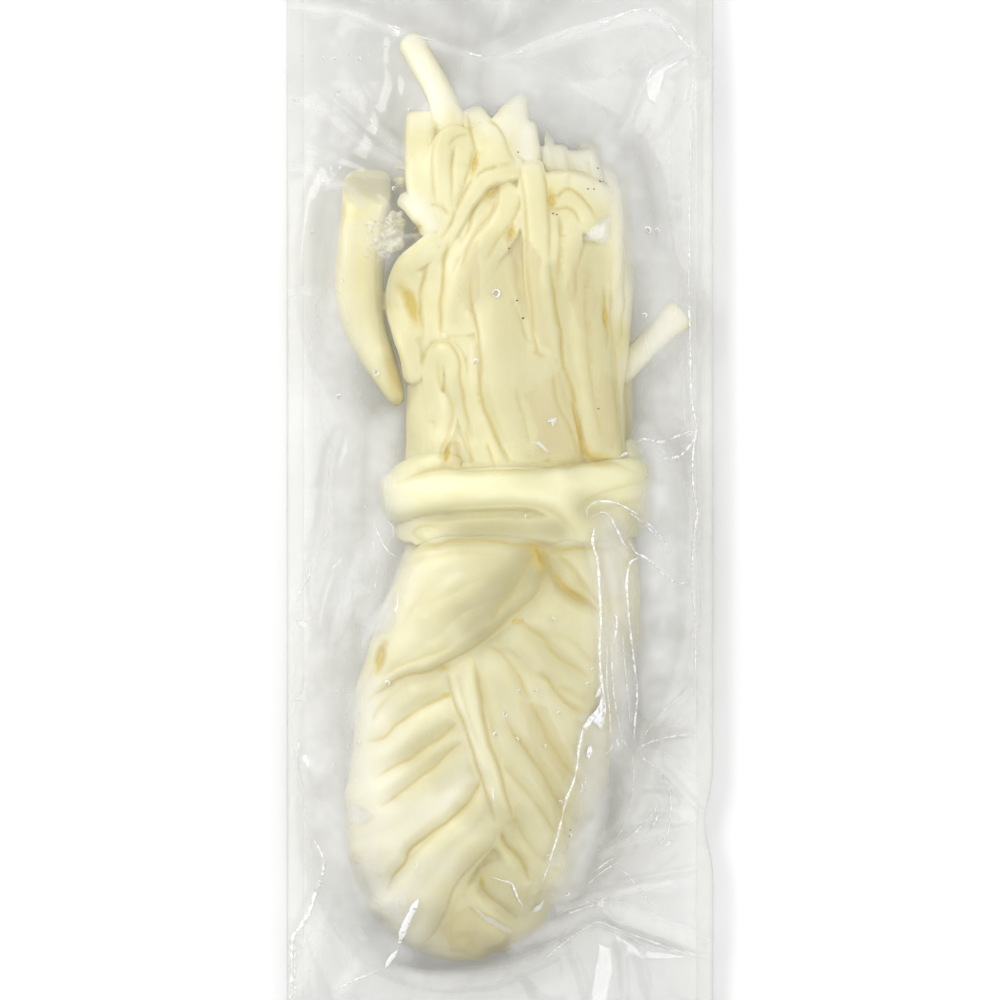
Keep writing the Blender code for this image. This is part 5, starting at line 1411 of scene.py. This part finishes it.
PLEAT_POINTS = 8  # round a pleat
PLEAT_STEP = 0.45  # along it
PLEAT_SPREAD = 1.3  # its width and whiteness, as a share of what the table gives


def make_pleats(grid, material):
    """Narrow raised pleats of the film, with painted highlights along them."""
    piece, spans = Piece(), []
    limit = np.array([HALF_WIDTH - 0.8, HALF_LENGTH - 1])
    angle = np.linspace(0, 2 * math.pi, PLEAT_POINTS, endpoint=False)
    for number, (half, height, white, route) in enumerate(PLEATS):
        line, run = even_line(route, 8, PLEAT_STEP)
        flat = np.column_stack([line, np.zeros(len(line))])
        sway = sway_of(flat, 3.0, (200 + number, 300 + number))
        line = np.clip(line + 0.07 * sway, -limit, limit)
        ends = np.clip(np.minimum(run, run[-1] - run) / min(3.0, 0.3 * run[-1]), 0.12, 1) ** 0.7
        wide = PLEAT_SPREAD * half * ends * (0.8 + 0.3 * noise(flat, 2.2, 400 + number))
        tall = height * ends
        x, y = ribbon(line, across_of(line), wide[:, None] * np.cos(angle))
        z = height_at(grid, line[:, 0], line[:, 1])[:, None] + tall[:, None] * (0.35 + 0.65 * np.sin(angle))
        piece.add_tube(np.stack([x, y, z], axis=-1))
        broken = np.clip(0.75 + 0.9 * noise(flat, 1.6, 500 + number), 0.12, 1) if half < 0.5 else 2.5
        value = np.repeat(PLEAT_SPREAD * white * broken * ends, PLEAT_POINTS)
        spans.append((len(value), value))
        spans.append((2, 0.0))
    whiteness(piece.build("film_pleats", material, "clear_film"), spans)


def make_facets(grid, name, material, low, high):
    """Flat facets of the film, whitened and with painted glints, as low lenses with soft rims."""
    piece, spans = Piece(), []
    for number, (white, outline) in enumerate(FACETS):
        if not low <= white < high:
            continue
        ring = np.array(outline + outline[:1])
        gaps = np.linalg.norm(np.diff(ring, axis=0), axis=1)
        run = np.concatenate([[0], np.cumsum(gaps)])
        count = max(16, int(run[-1] / 0.7))
        at = np.linspace(0, run[-1], count, endpoint=False)
        edge = np.stack([np.interp(at, run, ring[:, k]) for k in (0, 1)], axis=1)
        flat = np.column_stack([edge, at * 0])
        edge = edge + 0.25 * sway_of(flat, 1.5, (600 + number, 700 + number))
        centre = edge.mean(axis=0)
        shares = np.array([1.0, 0.92, 0.75, 0.5, 0.25, 0.06])
        loops = centre + (edge - centre) * shares[:, None, None]
        top = height_at(grid, loops[..., 0], loops[..., 1])
        rise = 0.12 * np.sqrt(np.clip(1 - shares**2, 0, 1))
        upper = np.concatenate([loops, (top + 0.12 + rise[:, None])[..., None]], axis=-1)
        lower = np.concatenate([loops, (top - 0.06)[..., None]], axis=-1)[::-1]
        piece.add_tube(np.concatenate([upper[::-1], lower[::-1]], axis=0))
        soft = np.clip((1 - shares) / (0.35 if white > 0.85 else 0.6), 0.02, 1)
        peak = 1.7 * white if white > 0.85 else white
        value = peak * np.concatenate([np.repeat(soft[::-1], count), np.repeat(soft, count)])
        spans.append((len(value), value))
        spans.append((2, peak))
    whiteness(piece.build(name, material, "clear_film"), spans)


def dome(turns, height, base=0.0):
    """A round top's profile, for lens_rings, by the turn from its crest in degrees."""
    return [(math.sin(math.radians(a)), height * math.cos(math.radians(a)) + base) for a in turns]


def lens_rings(centre, radius, profile, around=16, squash=1.0, seed=None):
    """A small body turned about the vertical: profile holds (share of radius, height) from the top down."""
    angle = np.linspace(0, 2 * math.pi, around, endpoint=False)
    rings = []
    for share, height in profile:
        reach = radius * share * np.ones(around)
        if seed is not None:
            around_it = np.column_stack([np.cos(angle), np.sin(angle), angle * 0 + height])
            reach = reach * (1 + 0.35 * noise(around_it * 2, 1.3, seed))
        rings.append(np.stack([centre[0] + reach * np.cos(angle), centre[1] + squash * reach * np.sin(angle),
                               np.full(around, centre[2] + height)], axis=-1))
    return np.array(rings)


BUBBLE_POINTS = 20  # round a bubble


def make_bubbles(grid, material):
    """Small round bubbles caught in the film, each a low dome with a painted white highlight ring, brighter
    on one side.
    """
    piece, spans = Piece(), []
    turns = np.linspace(8, 90, 7)
    ring = np.interp(turns, [8, 30, 42, 60, 90], [0.0, 0.05, 1.0, 1.0, 0.1])
    for (x, y), radius in BUBBLES:
        z = float(height_at(grid, x, y))
        profile = dome(turns, 0.55 * radius, 0.02) + [(0.9, -0.15), (0.1, -0.18)]
        piece.add_tube(lens_rings((x, y, z), radius, profile, BUBBLE_POINTS))
        around = np.linspace(0, 2 * math.pi, BUBBLE_POINTS, endpoint=False)
        # painted highlight: the ring is brighter on one side
        lit = 0.75 + 0.45 * np.sin(around + radius * 40)
        value = np.concatenate([np.outer(ring, lit).ravel(), np.zeros(2 * BUBBLE_POINTS)])
        spans.append((len(value), value))
        spans.append((2, 0.0))
    whiteness(piece.build("film_bubbles", material, "clear_film"), spans)


def make_specks(tree, material):
    """Dark specks lying on the cheese."""
    piece = Piece()
    for number, ((x, y), radius) in enumerate(SPECKS):
        level = float(probe(tree, np.array([x]), np.array([y]), ABOVE)[0])
        if math.isnan(level):
            continue
        profile = [(0.15, 0.2), (0.7, 0.14), (1.0, 0.0), (0.7, -0.16), (0.15, -0.2)]
        piece.add_tube(lens_rings((x, y, level + 0.05), radius, profile, 12, 0.8, 800 + number))
    piece.build("specks", material, "speck")


def make_whey(tree, material):
    """Golden whey gathered in the hollows between the strands, thinning out at its rim."""
    piece, spans = Piece(), []
    turns = np.linspace(0, 2 * math.pi, 16, endpoint=False)
    for _, half, tint, route in HOLLOWS:
        line, run = even_line(route, 6, 0.35)
        ends = np.sqrt(np.clip(1 - (2 * run / run[-1] - 1) ** 2, 0.02, 1))
        x, y = ribbon(line, across_of(line), (1.25 * half * ends)[:, None] * np.cos(turns))
        level = np.nan_to_num(probe(tree, x, y, ABOVE), nan=15.0)
        z = level + np.where(np.sin(turns) >= 0, 0.08, -0.3) + 0.05 * np.sin(turns)
        piece.add_tube(np.stack([x, y, z], axis=-1))
        most = 0.75 if 0.9 < tint < 1.2 else 0.12
        depth = most * np.clip(1 - np.abs(np.cos(turns)), 0, 1) ** 1.2 * ends[:, None] ** 2
        spans.append((depth.size, depth.ravel()))
        spans.append((2, 0.0))
    whiteness(piece.build("whey", material, "whey"), spans)


# heaps of crumbs: place, count, reach across and along, height
HEAPS = [
    ((-30.5, 70.0), 74, 4.4, 4.6, 15.4),
    ((-27.3, 73.1), 12, 2.2, 3.2, 16.0),
    ((-25.4, 86.4), 16, 2.0, 2.8, 14.2),
    ((-34.5, 66.2), 12, 2.6, 1.6, 15.8),
]


def make_scraps(material):
    """Lumpy translucent crumbs of cheese squeezed out beside the strands."""
    rng = np.random.default_rng(12)
    piece = Piece()
    turns = np.linspace(10, 170, 9)
    for (x, y), count, wide, tall, level in HEAPS:
        for _ in range(count):
            off = rng.uniform(-1, 1, 2)
            centre = (x + wide * off[0], y + tall * off[1] + 0.3 * wide * off[0],
                      level + rng.uniform(-0.8, 0.9))
            radius = rng.uniform(0.8, 1.6)
            squash, seed = rng.uniform(0.5, 1.0), int(rng.integers(1, 999))
            piece.add_tube(lens_rings(centre, radius, dome(turns, 0.7 * radius), 14, squash, seed))
    return fused(piece, "scraps", 0.32, 3, material)


DOT_PITCH = 1.5  # of the welds' embossing


def seal_slab(piece, x_low, x_high, y_low, y_high, columns, rows):
    """A flat welded strip around the film's rim, closed, with a fine embossed grid of dots."""
    x, y = np.meshgrid(np.linspace(x_low, x_high, columns), np.linspace(y_low, y_high, rows))
    shift = edge_pull(x, y)
    rim = seam_at(y) + 0.12
    across, along = (np.maximum(np.sin(at * 2 * math.pi / DOT_PITCH), 0) for at in (x, y))
    dots = 0.07 * across * along
    wave = 0.05 * noise(np.stack([x, y, x * 0], axis=-1), 9.0, 77)
    upper = np.stack([x - shift, y, rim + 0.1 + dots + wave], axis=-1)
    lower = np.stack([x - shift, y, rim - 0.42 + wave], axis=-1)
    start = piece.size
    piece.add_grid(upper)
    piece.add_grid(lower)
    rim_line = rim_of(rows, columns)
    for (i, j), (m, n) in zip(rim_line, rim_line[1:] + rim_line[:1]):
        a, b = start + i * columns + j, start + m * columns + n
        piece.faces.append([a, b, b + rows * columns, a + rows * columns])


def make_seals(material):
    """The welds round the pouch's rim."""
    sides, ends = Piece(), Piece()
    edge = HALF_WIDTH - 0.1
    for sign in (-1, 1):
        low, high = sorted((sign * (edge - SEAL_WIDTH), sign * edge))
        seal_slab(sides, low, high, -HALF_LENGTH + END_SEAL + 0.2, HALF_LENGTH - END_SEAL - 0.2, 13, 640)
        low, high = sorted((sign * (HALF_LENGTH - 0.1 - END_SEAL), sign * (HALF_LENGTH - 0.1)))
        seal_slab(ends, -edge, edge, low, high, 280, 19)
    sides.build("side_seals", material, "seal")
    ends.build("end_seals", material, "seal")


# ---------------------------------------------------------------- materials
def linear(r, g, b):
    """A colour given as it looks, 0 to 255, as the numbers that light is worked out with."""
    shares = np.array([r, g, b]) / 255
    return *np.where(shares <= 0.04045, shares / 12.92, ((shares + 0.055) / 1.055) ** 2.4).tolist(), 1.0


class Nodes:
    """One material, and the nodes that make it."""

    def __init__(self, name):
        self.material = bpy.data.materials.new(name)
        self.material.use_nodes = True
        self.tree = self.material.node_tree
        self.tree.nodes.clear()
        self.place = self.add("TexCoord").outputs["Object"]

    def add(self, kind, values=None, **settings):
        """A node. Each of its values is a constant, or the output that feeds it."""
        node = self.tree.nodes.new("ShaderNode" + kind)
        for name, setting in settings.items():
            setattr(node, name, setting)
        for socket, value in (values or {}).items():
            if isinstance(value, bpy.types.NodeSocket):
                self.tree.links.new(value, node.inputs[socket])
            else:
                node.inputs[socket].default_value = value
        return node

    def attribute(self, name):
        """A mark kept on the mesh."""
        return self.add("Attribute", attribute_name=name).outputs["Fac"]

    def noise(self, scale, detail, place=None):
        """Soft noise, about 0.5 on average."""
        values = {"Vector": place or self.place, "Scale": scale, "Detail": detail}
        return self.add("TexNoise", values).outputs["Fac"]

    def moved(self, **values):
        """The object's own coordinates, shifted or stretched."""
        return self.add("Mapping", {"Vector": self.place, **values}).outputs["Vector"]

    def span(self, value, low=0.0, high=1.0, least=0.0, most=1.0):
        """The value stretched from low to high on to least to most."""
        values = {"Value": value, "From Min": low, "From Max": high, "To Min": least, "To Max": most}
        return self.add("MapRange", values).outputs["Result"]

    def maths(self, operation, a, b, clamp=False):
        """Two values put together."""
        return self.add("Math", {0: a, 1: b}, operation=operation, use_clamp=clamp).outputs["Value"]

    def mix(self, share, a, b):
        """Two colours mixed."""
        return self.add("Mix", {"Factor": share, "A": a, "B": b}, data_type="RGBA").outputs["Result"]

    def bump(self, height, strength, distance):
        """The normal over a fine relief."""
        values = {"Height": height, "Strength": strength, "Distance": distance}
        return self.add("Bump", values).outputs["Normal"]

    def shader(self, kind, **values):
        """A shader; an underscore in a name stands for a space."""
        values = {name.replace("_", " "): value for name, value in values.items()}
        return self.add("Bsdf" + kind, values).outputs["BSDF"]

    def blend(self, share, a, b):
        """Two shaders mixed."""
        return self.add("MixShader", {"Fac": share, 1: a, 2: b}).outputs["Shader"]

    def finish(self, surface):
        """The material, once its surface is known."""
        self.add("OutputMaterial", {"Surface": surface})
        return self.material


# stains, painted light and painted shade on the cheese: mark on the mesh, where it starts to show, where it
# is full, its share there, colour
STAINS_AND_SHADING = [
    # paler tips, and painted light on the left of the body
    ("pale", 0.0, 1.0, 0.85, (245, 243, 230)),
    # painted shade, in two steps
    ("painted_shade", 0.0, 1.0, 0.85, (192, 184, 138)),
    ("painted_shade", 0.6, 1.2, 0.7, (164, 152, 104)),
    ("wet", 0.0, 1.0, 0.65, (214, 203, 158)),
    # painted shade beside the folds
    ("soft", 0.0, 1.0, 0.65, (214, 204, 148)),
    # painted shade in the grooves
    ("groove_shade", 0.08, 0.8, 0.55, (210, 197, 136)),
    ("gold_and_gap_shade", 0.0, 1.0, 1.0, (216, 192, 98)),
    # painted shade: brown in the deepest gaps
    ("gold_and_gap_shade", 0.7, 1.0, 0.85, (152, 128, 70)),
]


def cheese_material(name, light, dark, seed=0.0):
    """Moist cheese: two tones in soft clouds, the stains and the painted light and shade marked on the mesh,
    and fine fibres.
    """
    nodes = Nodes(name)
    clouds = nodes.noise(70, 3, nodes.moved(Location=(seed, seed * 0.7, 0)))
    colour = nodes.mix(nodes.span(clouds, 0.32, 0.68), light, dark)
    for attribute, low, high, most, tint in STAINS_AND_SHADING:
        share = nodes.span(nodes.attribute(attribute), low, high, 0.0, most)
        colour = nodes.mix(share, colour, linear(*tint))
    fibres = nodes.noise(900, 4, nodes.moved(Scale=(1, 0.25, 1)))
    return nodes.finish(nodes.shader(
        "Principled", Base_Color=colour, Normal=nodes.bump(fibres, 0.35, 0.0003), Roughness=0.42,
        Subsurface_Weight=0.45, Subsurface_Radius=(1.0, 0.88, 0.4), Subsurface_Scale=0.003,
        Specular_IOR_Level=0.35))


def film_material(name, tint, haze):
    """Clear glossy film: what is behind it, greyed by painted shade in the grey zones, a thin white veil that
    is partly milky film and partly painted sheen and light, and a mirror's share.
    """
    nodes = Nodes(name)
    loose = nodes.attribute("loose")
    clouds = nodes.span(nodes.noise(45, 5), 0.35, 0.7, *haze)
    veiled = nodes.maths("ADD", nodes.maths("MULTIPLY", clouds, nodes.span(loose, least=0.2)),
                         nodes.attribute("veil_and_sheen"))
    # painted shade: the grey zones darken what shows through the film
    shade = nodes.mix(nodes.attribute("grey"), tint, (0.2, 0.19, 0.18, 1))
    through = nodes.shader("Transparent", Color=shade)
    dull = nodes.blend(veiled, through, nodes.shader("Diffuse", Color=(0.93, 0.93, 0.91, 1)))
    dents = nodes.bump(nodes.noise(260, 3), 0.12, 0.0004)
    shine = nodes.shader("Anisotropic", Color=(1, 1, 1, 1), Roughness=0.09, Normal=dents)
    facing = nodes.add("Fresnel", {"IOR": 1.4, "Normal": dents}).outputs["Fac"]
    gloss = nodes.maths("MULTIPLY", facing, nodes.span(loose, least=0.3))
    return nodes.finish(nodes.blend(gloss, dull, shine))


def veil_and_sheen_material(name, colour, fine_scale, calm, gloss=0.06, clear=(1, 1, 1, 1)):
    """Coloured cover on clear film, a painted highlight where it is white: the mesh holds how much, and fine
    noise breaks it up, down to calm.
    """
    nodes = Nodes(name)
    grain = nodes.span(nodes.noise(fine_scale, 3), 0.3, 0.62, calm)
    share = nodes.maths("MULTIPLY", nodes.attribute("veil_and_sheen"), grain, True)
    through, white = nodes.shader("Transparent", Color=clear), nodes.shader("Diffuse", Color=colour)
    veiled = nodes.blend(share, through, white)
    shine = nodes.shader("Anisotropic", Color=(1, 1, 1, 1), Roughness=0.08)
    return nodes.finish(nodes.blend(gloss, veiled, shine))


def crumb_material():
    """Wet translucent crumbs: milky, with clear spots."""
    nodes = Nodes("translucent_crumbs")
    grain = nodes.noise(700, 3)
    milky = nodes.shader("Principled", Base_Color=linear(242, 238, 210), Roughness=0.25,
                         Normal=nodes.bump(grain, 0.3, 0.0003))
    through = nodes.shader("Transparent", Color=(0.98, 0.97, 0.93, 1))
    return nodes.finish(nodes.blend(nodes.span(grain, 0.35, 0.65, 0.5, 0.95), through, milky))


def speck_material():
    """Dark mottled seeds."""
    nodes = Nodes("dark_speck")
    colour = nodes.mix(nodes.noise(4000, 2), linear(74, 66, 48), linear(120, 108, 78))
    return nodes.finish(nodes.shader("Principled", Base_Color=colour, Roughness=0.6))


# ---------------------------------------------------------------- stage
def make_stage():
    """The pale floor."""
    mesh = bpy.data.meshes.new("floor")
    shape = bmesh.new()
    bmesh.ops.create_grid(shape, x_segments=2, y_segments=2, size=3.0)
    shape.to_mesh(mesh)
    shape.free()
    floor = bpy.data.objects.new("floor", mesh)
    floor.location.z = -0.0004  # just clear of the pouch
    bpy.context.scene.collection.objects.link(floor)
    nodes = Nodes("pale_floor")
    mesh.materials.append(nodes.finish(nodes.shader(
        "Principled", Base_Color=(0.95, 0.95, 0.95, 1), Roughness=0.8, Specular_IOR_Level=0.1)))


def area_light(name, place, size, power):
    """A soft square lamp turned to the pouch."""
    light = bpy.data.lights.new(name, "AREA")
    light.shape = "RECTANGLE"
    light.size, light.size_y = size, size
    light.energy = power
    lamp = bpy.data.objects.new(name, light)
    lamp.location = place
    lamp.rotation_euler = (Vector((0, 0, 0.01)) - Vector(place)).to_track_quat("-Z", "Y").to_euler()
    bpy.context.scene.collection.objects.link(lamp)


def make_lights():
    """Soft white light from all round, brightest from the upper left."""
    world = bpy.data.worlds.new("studio")
    world.use_nodes = True
    sky = world.node_tree.nodes["Background"]
    sky.inputs["Color"].default_value = (1, 1, 1, 1)
    sky.inputs["Strength"].default_value = 0.6
    bpy.context.scene.world = world
    area_light("key", (-1.1, 0.8, 1.2), 1.0, 16.5)
    area_light("overhead", (0.2, -0.2, 2.4), 1.2, 9.5)
    area_light("fill", (1.3, -0.4, 1.3), 1.2, 7.5)


VIEW_DISTANCE = 1.8
FRAME_WIDTH = 0.265  # what the view takes in at the height of the cheese
CHEESE_LEVEL = 0.02
SENSOR = 36


def make_camera():
    """A camera that looks straight down."""
    camera = bpy.data.cameras.new("camera")
    camera.sensor_width = SENSOR
    camera.lens = SENSOR * (VIEW_DISTANCE - CHEESE_LEVEL) / FRAME_WIDTH
    camera.clip_end = 20
    view = bpy.data.objects.new("camera", camera)
    view.location = (0, 0, VIEW_DISTANCE)
    bpy.context.scene.collection.objects.link(view)
    bpy.context.scene.camera = view
    bpy.context.scene.view_settings.view_transform = "Standard"
    bpy.context.scene.cycles.transparent_max_bounces = 32


def main():
    """Makes the cheese, the film round it and what lights it."""
    pale = cheese_material("pale_cheese", linear(235, 231, 198), linear(226, 220, 180))
    bright = cheese_material("bright_cheese", linear(243, 240, 205), linear(237, 233, 192), 5.0)
    rich = cheese_material("rich_cheese", linear(236, 231, 193), linear(228, 221, 174), 3.0)
    inner, strands = make_fringe()
    pieces = [
        fused(make_braid(), "braid", 0.58, 5, pale),
        fused(make_strap(), "neck_strap", 0.55, 5, bright),
        fused(inner, "fringe_core", 0.9, 4, rich),
        fused(strands, "fringe", 0.36, 2, rich, 0.5),
    ]
    press(pieces)
    crease(pieces)
    tone(pieces)
    scraps = make_scraps(crumb_material())
    tree = cheese_tree(pieces + [scraps])
    make_specks(tree, speck_material())
    make_whey(tree, veil_and_sheen_material("golden_whey", linear(234, 214, 118), 500, 0.7, 0.01))
    clear = film_material("clear_film", (0.985, 0.985, 0.98, 1), (0.05, 0.2))
    gleam = veil_and_sheen_material("film_gleam", (0.97, 0.97, 0.96, 1), 800, 0.15)
    weld = film_material("welded_film", (0.97, 0.97, 0.965, 1), (0.22, 0.4))
    grid = film_heights(tree)
    film = pouch_film(grid, clear)
    make_pleats(grid, gleam)
    make_facets(grid, "film_glints", gleam, 0.85, 2)
    mist_and_glints = veil_and_sheen_material("film_mist_and_glints", (0.95, 0.95, 0.94, 1), 400, 0.8)
    make_facets(grid, "film_facets", mist_and_glints, 0, 0.85)
    rim = veil_and_sheen_material("bubble_highlight_rim", (0.98, 0.98, 0.97, 1), 300, 0.75, 0.05, (0.93, 0.92, 0.89, 1))
    make_bubbles(grid, rim)
    make_seals(weld)
    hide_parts("sealed_pouch")
    make_stage()
    make_lights()
    make_camera()


main()
